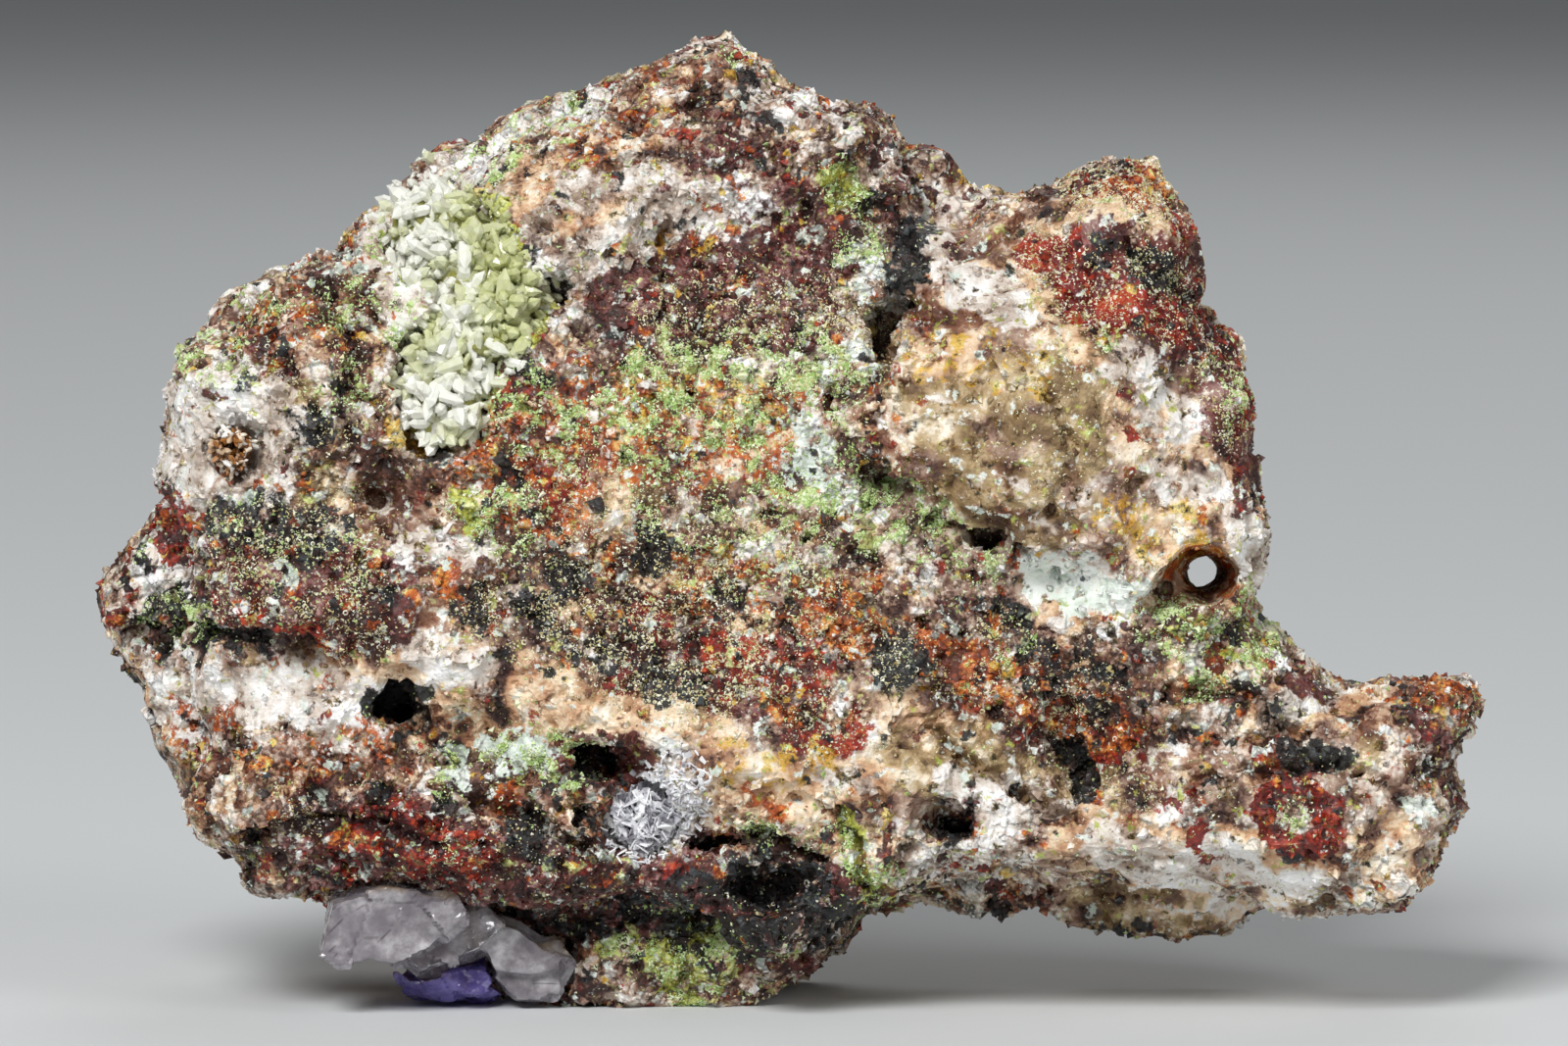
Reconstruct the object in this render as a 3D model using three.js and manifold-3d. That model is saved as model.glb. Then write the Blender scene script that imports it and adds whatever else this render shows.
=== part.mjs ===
// A creaseyite specimen: vuggy, iron-stained quartz rock with crystal crusts in its hollows.
// Millimetres, +Z up. The rock stands on a small flat spot, and its best face looks along -Y.
// The origin is a point of that flat spot, which the part's resting face holds.
//
// The rock is laid out as it is seen: u to the right, v up, and depth d away from the eye.
// Depth 0 passes through the middle of the rock, and the face stands in front of it at about -9.
import * as THREE from 'three';
import { ImprovedNoise } from 'three/addons/math/ImprovedNoise.js';
import { mergeVertices } from 'three/addons/utils/BufferGeometryUtils.js';
import Module from 'manifold-3d';

const wasm = await Module();
wasm.setup();

// Where the eye stands, and which point of the seen layout lies at the part's origin
const EYE_DISTANCE = 450;
const EYE_ELEVATION = THREE.MathUtils.degToRad(5);
const EYE_V = 19.46;
const FLAT_SPOT = { u: -5, d: 1, v: 0.3 };

// Sizes that the whole rock follows
const FACE_DEPTH = 9.2;
const TOP_LEANS_FROM_V = 27;
const TOP_LEAN = 0.42;
const FACE_PITCH = 1.6;
const REAR_PITCH = 2.8;
const FACE_RINGS = 5;
const REAR_RINGS = 4;
const WALL_WOBBLE = 1.3;
const NODE_GAP = 0.32;

// The sharp front crust, from its top peak and on round to the right
const FACE_OUTLINE = [
  [-2.3, 39.5], [-1.5, 38.9], [-0.6, 38.4], [-0.5, 37.8], [0.4, 37.7], [0.9, 37.6], [1.3, 36.9],
  [2.8, 37.0], [3.6, 37.0], [4.3, 36.4], [4.5, 35.6], [4.4, 34.8], [4.8, 33.8], [5.3, 32.8],
  [6.0, 32.2], [7.4, 31.8], [8.3, 32.3], [9.2, 32.7], [10.4, 33.0], [11.1, 33.1], [11.6, 33.6],
  [12.3, 33.8], [13.4, 34.3], [15.1, 34.4], [15.4, 33.8], [15.6, 33.4], [16.3, 32.7], [16.8, 31.7],
  [16.9, 30.4], [16.8, 29.5], [17.2, 29.3], [16.9, 29.0], [17.4, 28.2], [18.1, 27.3], [18.7, 27.0],
  [18.6, 26.5], [19.0, 25.0], [19.2, 24.5], [19.1, 23.5], [19.3, 22.2], [19.5, 21.7], [19.4, 20.7],
  [19.9, 19.4], [19.7, 18.7], [19.5, 17.6], [19.1, 16.9], [19.4, 15.8], [19.8, 15.0], [20.7, 14.4],
  [21.6, 13.4], [22.5, 12.6], [23.2, 12.4], [24.0, 12.6], [25.1, 12.7], [26.2, 13.0], [27.2, 12.8],
  [27.9, 12.9], [28.3, 12.4], [28.2, 11.6], [27.9, 10.8], [27.3, 10.5], [27.2, 9.3], [27.8, 8.2],
  [27.5, 7.3], [26.9, 5.8], [26.2, 4.1], [25.2, 3.6], [24.4, 3.4], [22.3, 3.5], [21.3, 3.3],
  [20.4, 3.7], [19.0, 4.2], [17.3, 4.8], [16.2, 4.8], [14.9, 4.5], [13.6, 4.9], [13.0, 5.0],
  [12.5, 4.7], [10.5, 4.9], [8.8, 5.1], [7.0, 5.1], [5.7, 4.9], [4.8, 4.5], [4.2, 4.0],
  [3.2, 3.4], [2.5, 2.9], [1.5, 2.5], [0.9, 1.7], [-0.2, 1.4], [-1.3, 1.6], [-2.2, 2.3],
  [-2.7, 3.1], [-4.4, 3.3], [-6.4, 3.6], [-8.0, 3.8], [-9.6, 3.4], [-11.2, 3.9], [-13.0, 4.2],
  [-14.8, 4.4], [-17.0, 4.6], [-18.6, 4.4], [-20.0, 4.4], [-21.6, 4.4], [-22.3, 4.7], [-21.9, 5.1],
  [-22.1, 5.6], [-22.9, 6.3], [-23.9, 6.9], [-24.2, 7.6], [-24.0, 8.7], [-23.8, 10.2], [-23.7, 11.8],
  [-24.2, 13.0], [-24.2, 15.2], [-24.3, 16.0], [-24.0, 17.1], [-24.1, 18.5], [-24.8, 19.9],
  [-25.2, 20.3], [-25.4, 21.2], [-25.2, 22.2], [-25.2, 23.2], [-25.0, 24.9], [-24.9, 26.4],
  [-24.1, 26.8], [-22.7, 27.6], [-22.2, 28.3], [-21.4, 29.4], [-20.6, 30.0], [-19.9, 30.5],
  [-18.8, 30.8], [-17.4, 31.8], [-16.3, 32.1], [-15.6, 32.5], [-14.2, 32.7], [-13.6, 33.3],
  [-12.4, 34.0], [-11.6, 34.6], [-10.4, 35.2], [-8.4, 36.1], [-7.2, 36.8], [-6.2, 37.9],
  [-4.9, 38.4], [-4.1, 38.7], [-3.6, 39.0], [-3.0, 39.1],
];

// The mass behind it, with the left lobe, the top ridge, the arch and the shelf that look past the face
const REAR_OUTLINE = [
  [-15.6, 32.5], [-15.4, 33.3], [-15.1, 33.9], [-14.4, 34.6], [-13.6, 34.9], [-12.6, 35.1],
  [-11.9, 35.5], [-11.2, 36.0], [-10.5, 36.3], [-9.6, 36.5], [-8.1, 37.2], [-7.2, 37.7],
  [-6.0, 38.0], [-4.4, 38.0], [-2.6, 38.2], [-1.4, 37.6], [-0.4, 36.6], [1.2, 35.8], [3.2, 35.8],
  [4.3, 34.8], [5.2, 34.7], [5.9, 34.7], [6.6, 34.4], [7.0, 33.9], [7.4, 33.6], [7.8, 33.2],
  [8.0, 32.8], [8.5, 33.0], [9.0, 32.8], [11.2, 32.4], [14.2, 33.4], [15.6, 31.0], [16.2, 28.4],
  [17.8, 25.0], [18.4, 20.0], [18.3, 16.8], [19.6, 14.0], [21.0, 13.2], [21.7, 13.5], [22.4, 13.4],
  [23.4, 12.8], [24.1, 12.5], [26.2, 11.6], [26.0, 8.6], [25.4, 5.6], [24.0, 4.6], [20.0, 4.6],
  [19.8, 4.0], [18.6, 3.2], [18.1, 2.7], [16.0, 2.6], [14.1, 2.5], [12.8, 2.6], [11.8, 2.9],
  [10.9, 3.4], [8.8, 3.2], [7.4, 3.6], [6.6, 4.1], [5.4, 4.2], [4.4, 3.6], [3.4, 2.8], [2.6, 1.7],
  [1.8, 1.0], [0.4, 0.2], [-2.0, -0.8], [-6.0, -1.2], [-10.4, -0.9], [-12.4, 0.2], [-16.6, 2.6], [-20.2, 4.8],
  [-22.9, 6.3], [-24.0, 6.8], [-24.2, 7.6], [-24.7, 8.7], [-25.1, 9.6], [-25.6, 10.5],
  [-25.5, 11.5], [-26.1, 12.0], [-26.2, 12.8], [-27.0, 13.9], [-27.2, 14.7], [-27.8, 15.7],
  [-27.8, 17.2], [-27.3, 17.9], [-26.8, 18.8], [-25.5, 20.2], [-24.6, 20.6], [-24.2, 22.0],
  [-24.0, 25.6], [-23.8, 27.2], [-23.3, 28.1], [-22.4, 29.0], [-18.0, 30.6],
];

// See-through holes: the one under the block, and the slit under the arch
const THROUGH_HOLE = [
  [16.3, 17.0], [16.6, 17.9], [17.0, 18.1], [17.5, 17.9], [17.7, 17.3], [18.0, 16.8], [17.2, 16.9],
];
const ARCH_SLIT = [[5.9, 32.2], [6.4, 32.1], [7.5, 31.9], [7.3, 31.7], [6.6, 31.6], [6.1, 31.9]];

// Steps and cracks in the face. The left side of a path is raised by step, and groove cuts along it.
const FACE_STROKES = [
  {
    path: [
      [5.2, 31.4], [4.5, 28.8], [3.8, 26.8], [2.5, 24.8], [2.1, 22.8], [3.2, 21.4], [5.6, 20.8],
      [7.0, 18.9], [10.0, 18.0], [12.8, 17.3], [15.2, 16.6],
    ],
    step: 2.0, groove: 1.3, width: 0.8, reach: 6,
  },
  {
    path: [
      [-24.2, 16.1], [-22.8, 15.5], [-21.4, 14.7], [-19.8, 14.3], [-18.0, 14.3], [-16.0, 13.2],
      [-14.0, 12.2], [-11.2, 11.8],
    ],
    step: 1.9, groove: 0.9, width: 0.9, reach: 4,
  },
  {
    path: [
      [-23.4, 10.4], [-20.0, 11.0], [-16.8, 10.8], [-12.8, 11.0], [-9.6, 10.6], [-8.0, 10.4],
      [-4.8, 9.6], [-3.2, 8.4], [-0.8, 7.6], [2.4, 6.8], [4.0, 6.0],
    ],
    step: 1.7, groove: 0.4, width: 0.8, reach: 5,
  },
  {
    path: [[-9.6, 13.4], [-6.0, 11.8], [-1.6, 10.3], [2.4, 9.4], [6.0, 10.0], [9.2, 7.8], [11.6, 6.6]],
    step: -0.9, groove: 0, width: 0.8, reach: 4,
  },
  { path: [[14.0, 15.9], [17.2, 15.1], [19.8, 14.6]], step: 1.0, groove: 0.5, width: 0.7, reach: 3 },
  { path: [[0.2, 34.4], [2.2, 33.7], [4.6, 33.6]], step: 1.4, groove: 0.5, width: 0.6, reach: 3 },
  { path: [[5.6, 26.8], [9.6, 27.8], [13.6, 26.4]], step: -0.9, groove: 0, width: 0.8, reach: 4 },
  { path: [[11.2, 13.2], [10.6, 10.4], [12.2, 7.2]], step: -0.9, groove: 0.4, width: 0.8, reach: 3 },
  { path: [[17.6, 11.6], [21.6, 10.8], [24.8, 11.4]], step: 0.8, groove: 0.5, width: 0.7, reach: 3 },
];

// Swells (+) and dips (-) of the face
const FACE_LUMPS = [
  { at: [2.7, 35.6], size: [2.0, 1.6], turn: 0, rise: 2.4 },
  { at: [-1.2, 30.0], size: [6.4, 3.8], turn: -12, rise: -1.6 },
  { at: [-6.4, 33.6], size: [5.0, 3.0], turn: 25, rise: 1.0 },
  { at: [-18.8, 24.4], size: [5.4, 5.4], turn: 0, rise: 1.2 },
  { at: [-20.0, 17.0], size: [5.0, 3.0], turn: -10, rise: 1.0 },
  { at: [-20.4, 12.6], size: [4.2, 1.7], turn: -8, rise: -1.0 },
  { at: [-21.8, 8.0], size: [2.6, 2.2], turn: 0, rise: 1.4 },
  { at: [-14.8, 6.8], size: [4.4, 1.9], turn: -6, rise: 1.2 },
  { at: [-7.2, 22.0], size: [7.0, 5.0], turn: 10, rise: 0.9 },
  { at: [3.2, 16.0], size: [6.0, 4.0], turn: -15, rise: 1.0 },
  { at: [11.2, 22.8], size: [5.4, 6.0], turn: 0, rise: 1.1 },
  { at: [14.0, 31.6], size: [3.4, 2.6], turn: 0, rise: 1.1 },
  { at: [16.4, 26.0], size: [2.6, 4.0], turn: 10, rise: -0.9 },
  { at: [21.2, 7.6], size: [5.0, 3.0], turn: -6, rise: 1.3 },
  { at: [12.0, 10.6], size: [2.3, 3.2], turn: 8, rise: -1.8 },
  { at: [26.0, 11.2], size: [2.0, 1.6], turn: 0, rise: -0.8 },
  { at: [14.0, 5.6], size: [6.4, 1.5], turn: -3, rise: 0.9 },
  { at: [-0.7, 2.5], size: [2.0, 1.4], turn: 0, rise: 1.0 },
  { at: [16.9, 15.9], size: [2.0, 0.9], turn: 0, rise: 1.1 },
  { at: [-4.6, 6.2], size: [5.6, 2.2], turn: -10, rise: -0.9 },
];

// Broken faces of the back: each plane stands `deep` behind point `at`, and falls by `slope` per mm
const BACK_BREAKS = [
  { at: [-10, 20], deep: 11.8, slope: [-0.32, 0.12] },
  { at: [-16, 22], deep: 11.0, slope: [0.55, -0.1] },
  { at: [-8, 30], deep: 10.0, slope: [0.05, -0.62] },
  { at: [-8, 8], deep: 10.6, slope: [-0.1, 0.36] },
  { at: [12, 24], deep: 7.0, slope: [-0.22, -0.25] },
  { at: [18, 9], deep: 5.2, slope: [-0.15, 0.3] },
];

// Hollows: place on the face, half sizes across and up, depth, and turn in degrees
const HOLLOWS = [
  { at: [-22.4, 18.1], size: [0.9, 0.6], deep: 2.0, turn: -8 },
  { at: [-15.6, 11.7], size: [1.25, 1.0], deep: 3.6, turn: 20 },
  { at: [-16.8, 20.4], size: [0.8, 0.8], deep: 1.8, turn: 0 },
  { at: [-12.8, 21.0], size: [1.2, 0.8], deep: 1.4, turn: 0 },
  { at: [-9.3, 28.8], size: [1.1, 0.9], deep: 2.8, turn: -20 },
  { at: [4.3, 21.2], size: [1.5, 0.6], deep: 3.0, turn: -22 },
  { at: [7.9, 18.7], size: [0.9, 0.45], deep: 2.4, turn: -8 },
  { at: [-7.2, 9.7], size: [1.8, 0.8], deep: 3.2, turn: -8 },
  { at: [-3.1, 6.5], size: [1.1, 0.85], deep: 1.8, turn: 0 },
  { at: [-0.5, 4.7], size: [2.0, 1.1], deep: 3.4, turn: 6 },
  { at: [6.3, 7.4], size: [1.1, 1.0], deep: 3.0, turn: 30 },
  { at: [4.1, 27.8], size: [0.9, 1.7], deep: 3.4, turn: -24 },
  { at: [3.8, 32.2], size: [1.0, 0.8], deep: 2.2, turn: 0 },
  { at: [15.7, 16.7], size: [1.5, 0.7], deep: 4.0, turn: 24 },
  { at: [17.1, 17.3], size: [1.4, 1.2], deep: 5.0, turn: 0 },
  { at: [-24.0, 14.8], size: [0.9, 1.5], deep: 2.6, turn: 0 },
  { at: [12.1, 9.4], size: [0.9, 1.6], deep: 1.6, turn: 10 },
];

// The crystal-lined cleft follows this path, and its crust of pale quartz stands along both banks
const CLEFT_PATH = [[-14.2, 31.4], [-12.9, 30.2], [-12.0, 28.8], [-12.6, 27.4], [-13.8, 25.8], [-14.0, 24.2]];
const CLEFT_RADIUS = 2.3;
const CLEFT_DEEP = 2.6;
const STAR_VUG = { at: [-22.5, 22.5], radius: 1.5, deep: 1.9 };
const BLADE_VUG = { at: [-5.7, 7.5], radius: 1.8, deep: 2.4 };

// Clear grey quartz and purple fluorite grown on the underside, as plates and a chunk
const QUARTZ_PLATES = [
  {
    outline: [
      [-18.4, 4.2], [-18.9, 2.1], [-18.2, 1.6], [-16.8, 1.9], [-16.0, 1.6], [-14.4, 2.3],
      [-13.1, 3.4], [-13.6, 4.4], [-16.2, 4.8],
    ],
    near: -7.2, deep: 3.0, lean: 8,
  },
  {
    outline: [[-16.0, 1.8], [-14.9, 1.0], [-14.2, 1.1], [-12.4, 1.8], [-11.4, 2.7], [-12.2, 3.7], [-14.4, 3.2]],
    near: -5.8, deep: 3.4, lean: -6,
  },
  {
    outline: [[-12.6, 2.7], [-11.8, 1.3], [-10.3, 1.2], [-8.5, 1.7], [-9.9, 2.3], [-10.8, 3.1], [-11.6, 3.4]],
    near: -5.2, deep: 3.4, lean: 6,
  },
  {
    outline: [[-11.8, 0.9], [-10.9, 0.1], [-9.4, 0.1], [-8.5, 1.5], [-9.2, 2.4], [-11.2, 2.2]],
    near: -4.4, deep: 3.2, lean: 0,
  },
];
const FLUORITE = { at: [-13.6, 0.85], size: [2.5, 0.95], near: -5.0, deep: 2.1, turn: -4 };

const perlin = new ImprovedNoise();
const { degToRad, clamp, lerp, smoothstep, seededRandom } = THREE.MathUtils;

// Sum of three noises, the finest a quarter as long as the coarsest wavelength
function roughness(x, y, z, wavelength) {
  let sum = 0;
  for (let octave = 0; octave < 3; octave++) {
    const fine = 2 ** octave / wavelength;
    sum += perlin.noise(x * fine, y * fine, z * fine) / 1.7 ** octave;
  }
  return sum;
}

// From the seen layout to the part's own frame
function real(seen) {
  const spread = 1 + seen.y / EYE_DISTANCE;
  const up = (seen.z - EYE_V) * spread;
  return new THREE.Vector3(
    seen.x * spread,
    seen.y * Math.cos(EYE_ELEVATION) + up * Math.sin(EYE_ELEVATION),
    up * Math.cos(EYE_ELEVATION) - seen.y * Math.sin(EYE_ELEVATION),
  );
}
const ORIGIN = real(new THREE.Vector3(FLAT_SPOT.u, FLAT_SPOT.d, FLAT_SPOT.v));

function moveVertices(geometry, move) {
  const position = geometry.getAttribute('position');
  const p = new THREE.Vector3();
  for (let i = 0; i < position.count; i++) {
    p.fromBufferAttribute(position, i);
    const moved = move(p) ?? p;
    position.setXYZ(i, moved.x, moved.y, moved.z);
  }
  return geometry;
}

function solidOf(geometry) {
  const bare = geometry.clone();
  bare.deleteAttribute('normal');
  bare.deleteAttribute('uv');
  const merged = mergeVertices(bare, 1e-4);
  return new wasm.Manifold(new wasm.Mesh({
    numProp: 3,
    vertProperties: new Float32Array(merged.getAttribute('position').array),
    triVerts: new Uint32Array(merged.index.array),
  }));
}

function geometryOf(solid) {
  const { vertProperties, triVerts } = solid.getMesh();
  const geometry = new THREE.BufferGeometry();
  geometry.setAttribute('position', new THREE.BufferAttribute(vertProperties, 3));
  geometry.setIndex(new THREE.BufferAttribute(triVerts, 1));
  return geometry;
}

const joined = (solids) => solids.reduce((all, one) => all.add(one));

// Nearest place on a path: distance, how far along it lies (0 to 1), and which side the point is on
function nearestOnPath(path, u, v, closed = false) {
  const found = { distance: Infinity, along: 0, side: 1 };
  const legs = closed ? path.length : path.length - 1;
  for (let i = 0; i < legs; i++) {
    const [au, av] = path[i];
    const [bu, bv] = path[(i + 1) % path.length];
    const [lu, lv] = [bu - au, bv - av];
    const t = clamp(((u - au) * lu + (v - av) * lv) / (lu * lu + lv * lv), 0, 1);
    const distance = Math.hypot(u - au - t * lu, v - av - t * lv);
    if (distance < found.distance) {
      found.distance = distance;
      found.along = (i + t) / legs;
      found.side = lu * (v - av) - lv * (u - au) > 0 ? 1 : -1;
    }
  }
  return found;
}

// A swell that is `rise` high at its middle and gone at the ellipse of its half sizes
function lumpAt({ at, size, turn, rise }, u, v) {
  const angle = degToRad(turn);
  const [du, dv] = [u - at[0], v - at[1]];
  const a = (du * Math.cos(angle) + dv * Math.sin(angle)) / size[0];
  const b = (dv * Math.cos(angle) - du * Math.sin(angle)) / size[1];
  const left = Math.max(0, 1 - a * a - b * b);
  return rise * left * Math.sqrt(left);
}

function strokeAt({ path, step, groove, width, reach }, u, v) {
  const { distance, along, side } = nearestOnPath(path, u, v);
  const fade = smoothstep(along, 0, 0.12) * (1 - smoothstep(along, 0.88, 1));
  const raised = 0.5 * step * side * Math.tanh(distance / (0.5 * width)) * Math.exp(-distance / reach);
  return fade * (raised - groove * Math.exp(-((distance / width) ** 2)));
}

const sumOf = (forms, heightAt, u, v) => forms.reduce((sum, form) => sum + heightAt(form, u, v), 0);

// How far behind depth 0 the middle of the front crust lies
const crustMiddle = (u, v) => -3.4 + 0.35 * Math.max(0, v - TOP_LEANS_FROM_V);

// How far in front of depth 0 the face stands
function faceAt(u, v) {
  const lean = TOP_LEAN * Math.max(0, v - TOP_LEANS_FROM_V);
  const forms = sumOf(FACE_LUMPS, lumpAt, u, v) + sumOf(FACE_STROKES, strokeAt, u, v);
  return FACE_DEPTH - lean + forms + 0.75 * roughness(u, 3, v, 6) + 0.35 * perlin.noise(u / 1.9, 7, v / 1.9);
}

// How far behind depth 0 the back stands: a dome cut by broken faces, then roughened
function backAt(u, v) {
  const dome = 6 + lumpAt({ at: [-7, 20], size: [26, 24], turn: 0, rise: 9 }, u, v);
  const broken = BACK_BREAKS.map(({ at, deep, slope }) => {
    const [du, dv] = [u - at[0], v - at[1]];
    return deep + slope[0] * du + slope[1] * dv;
  });
  const thin = lumpAt({ at: [17, 17.3], size: [6, 5], turn: 0, rise: 4 }, u, v);
  const deep = Math.min(dome, ...broken.map((b) => Math.max(b, 3.5)));
  return Math.max(2.2, deep - thin + 1.5 * roughness(u, 40, v, 9));
}

// How much of its full thickness a crust keeps at a distance from its outline
function rimShare(distance, { width, keeps }) {
  const t = Math.min(distance / width, 1);
  return keeps + (1 - keeps) * Math.sqrt(1 - (1 - t) ** 2);
}

// Walls that follow an outline through the whole depth and sink in here and there on the way
function roughPrism(shape, centre, rings) {
  const prism = new THREE.ExtrudeGeometry(shape, { depth: 32, steps: rings, bevelEnabled: false });
  prism.rotateX(Math.PI / 2).translate(0, 18, 0);
  return moveVertices(prism, (p) => {
    const inward = new THREE.Vector3(centre.x - p.x, 0, centre.y - p.z).normalize();
    const sunk = 2 * perlin.noise(p.x / 4.5 + 9, p.y / 5, p.z / 4.5);
    return p.addScaledVector(inward, WALL_WOBBLE * clamp(sunk, 0, 1));
  });
}

// A closed body with this outline, `front` before its middle and `back` behind it, thinner at the rim
function pillow({ outline, pitch, rings, middle, front, back, frontRim, backRim }) {
  const shape = new THREE.Shape(outline.map(([u, v]) => new THREE.Vector2(u, v)));
  const box = new THREE.Box2().setFromPoints(shape.getPoints()).expandByScalar(pitch);
  const size = box.getSize(new THREE.Vector2());
  const centre = box.getCenter(new THREE.Vector2());
  const steps = size.clone().divideScalar(pitch).round();
  const blank = new THREE.BoxGeometry(size.x, 1, size.y, steps.x, 1, steps.y);
  blank.translate(centre.x, 0, centre.y);
  moveVertices(blank, (p) => {
    p.y = middle(p.x, p.z) + (p.y < 0 ? -front(p.x, p.z) : back(p.x, p.z));
  });
  const cut = geometryOf(solidOf(blank).intersect(solidOf(roughPrism(shape, centre, rings))));
  return solidOf(moveVertices(cut, (p) => {
    const { distance } = nearestOnPath(outline, p.x, p.z, true);
    const centreDepth = middle(p.x, p.z);
    const rim = p.y < centreDepth ? frontRim : backRim;
    p.y = centreDepth + (p.y - centreDepth) * rimShare(distance, rim);
  }));
}

// A rough, many-sided knob of these half sizes, turned in the plane of the face
function knob({ u, d, v, size, turn = 0, detail = 1, uneven = 0.25 }) {
  const ball = new THREE.IcosahedronGeometry(1, detail);
  moveVertices(ball, (p) => p.multiplyScalar(1 + uneven * perlin.noise(p.x * 1.7 + u, p.y * 1.7, p.z * 1.7 + v)));
  ball.scale(size[0], size[1], size[2]).rotateY(-degToRad(turn)).translate(u, d, v);
  return solidOf(ball);
}

function hollow({ at, size, deep, turn }) {
  const detail = size[0] > 1.9 ? 2 : 1;
  return knob({ u: at[0], d: -faceAt(...at), v: at[1], size: [size[0], deep, size[1]], turn, detail, uneven: 0.5 });
}

// A six-sided crystal with a pointed end, its foot at the origin and its point along +Y
function crystal(length, radius) {
  const profile = [[0, 0], [radius, 0], [radius * 0.94, length * 0.62], [0, length]];
  return new THREE.LatheGeometry(profile.map(([r, h]) => new THREE.Vector2(r, h)), 6);
}

// The same crystal, set at a place of the seen layout and pointing along a direction there
function crystalAt(foot, direction, length, radius) {
  const turn = new THREE.Quaternion().setFromUnitVectors(
    new THREE.Vector3(0, 1, 0), direction.clone().normalize());
  return solidOf(crystal(length, radius).applyQuaternion(turn).translate(foot.x, foot.y, foot.z));
}

// The space of the cleft, of the star-shaped vug and of the bladed vug. A crust is trimmed to the same
// space less the gap, so it never touches the rock.
function cleftSpace(grow = 0, sunk = 0, deep = CLEFT_DEEP) {
  return joined(CLEFT_PATH.map(([u, v], i) => knob({
    u, d: -faceAt(u, v) + sunk, v, uneven: 0.2,
    size: [CLEFT_RADIUS * (i % 2 ? 0.92 : 1.06) + grow, deep + grow, CLEFT_RADIUS + grow],
  })));
}

function vugSpace({ at, radius, deep }, grow = 0, sunk = 0) {
  return knob({
    u: at[0], d: -faceAt(...at) + sunk, v: at[1], uneven: 0.3,
    size: [radius + grow, deep - sunk + grow, radius + grow],
  });
}

// Pale quartz crystals on a thin bed that lines the cleft; they lean in over the open channel
function cleftCrust() {
  const bed = cleftSpace(-NODE_GAP, 1.3, CLEFT_DEEP - 1.3);
  const random = (low, high) => lerp(low, high, seededRandom());
  seededRandom(11);
  const crystals = [];
  CLEFT_PATH.forEach(([u, v], i) => {
    const [nextU, nextV] = CLEFT_PATH[Math.min(i + 1, CLEFT_PATH.length - 1)];
    const [lastU, lastV] = CLEFT_PATH[Math.max(i - 1, 0)];
    const along = new THREE.Vector2(nextU - lastU, nextV - lastV).normalize();
    for (const bank of [-1, 1]) {
      const out = bank * random(0.7, 1.15);
      const slip = random(-0.5, 0.5);
      const foot = new THREE.Vector3(
        u - along.y * out + along.x * slip, -faceAt(u, v) + 1.0, v + along.x * out + along.y * slip);
      const lean = new THREE.Vector3(along.y * bank * 0.5 + random(-0.3, 0.3), -1, random(-0.3, 0.3));
      crystals.push(crystalAt(foot, lean, random(1.5, 2.1), random(0.5, 0.7)));
    }
  });
  return joined([bed, ...crystals]).intersect(cleftSpace(-NODE_GAP));
}

// Stained quartz points that stand round the star-shaped vug and look into it
function starVugCrust() {
  const [u, v] = STAR_VUG.at;
  const floor = -faceAt(u, v) + STAR_VUG.deep;
  const bed = vugSpace(STAR_VUG, -NODE_GAP, 1.1);
  const points = 7;
  const crystals = Array.from({ length: points }, (_, i) => {
    const angle = (i / points) * 2 * Math.PI + 0.3 * (i % 2);
    const ring = STAR_VUG.radius * 0.48;
    const foot = new THREE.Vector3(u + ring * Math.cos(angle), floor - 0.9, v + ring * Math.sin(angle));
    const lean = new THREE.Vector3(-0.18 * Math.cos(angle), -1, -0.18 * Math.sin(angle));
    return crystalAt(foot, lean, i % 2 ? 1.5 : 1.15, 0.27);
  });
  return joined([bed, ...crystals]).intersect(vugSpace(STAR_VUG, -NODE_GAP));
}

// White blades that cross on edge and leave dark boxes between them
function bladeCrust() {
  const [u, v] = BLADE_VUG.at;
  const floor = -faceAt(u, v) + BLADE_VUG.deep;
  const bed = vugSpace(BLADE_VUG, -NODE_GAP, 1.4);
  const blades = [
    [-0.5, 0.3, 20, 1.9], [0.5, 0.5, -35, 1.8], [0.0, -0.5, 75, 1.9], [-0.7, -0.4, 110, 1.4],
    [0.7, -0.2, 50, 1.6], [-0.1, 0.0, 140, 2.1],
  ];
  const standing = blades.map(([du, dv, turn, length]) => {
    const blade = new THREE.BoxGeometry(length, 1.5, 0.2).rotateY(-degToRad(turn));
    return solidOf(blade.translate(u + du, floor - 1.3, v + dv));
  });
  return joined([bed, ...standing]).intersect(vugSpace(BLADE_VUG, -NODE_GAP));
}

// A plate of the underside quartz, `near` its front depth; `grow` widens it all round
function quartzPlate({ outline, near, deep, lean }, grow = 0) {
  const shape = new THREE.Shape(outline.map(([u, v]) => new THREE.Vector2(u, v)));
  const centre = new THREE.Box2().setFromPoints(shape.getPoints()).getCenter(new THREE.Vector2());
  const slab = new THREE.ExtrudeGeometry(shape, { depth: deep, bevelEnabled: false });
  slab.translate(-centre.x, -centre.y, -deep / 2).rotateX(Math.PI / 2 + degToRad(lean));
  moveVertices(slab, (p) => p.add(p.clone().normalize().multiplyScalar(grow * 1.5)));
  return solidOf(slab.translate(centre.x, near + deep / 2, centre.y));
}
const underQuartz = (grow) => joined(QUARTZ_PLATES.map((plate) => quartzPlate(plate, grow)));

function fluoriteChunk(grow) {
  const { at, size, near, deep, turn } = FLUORITE;
  return knob({
    u: at[0], d: near + deep, v: at[1], turn, uneven: 0.35,
    size: [size[0] + grow, deep + grow, size[1] + grow],
  });
}

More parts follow.
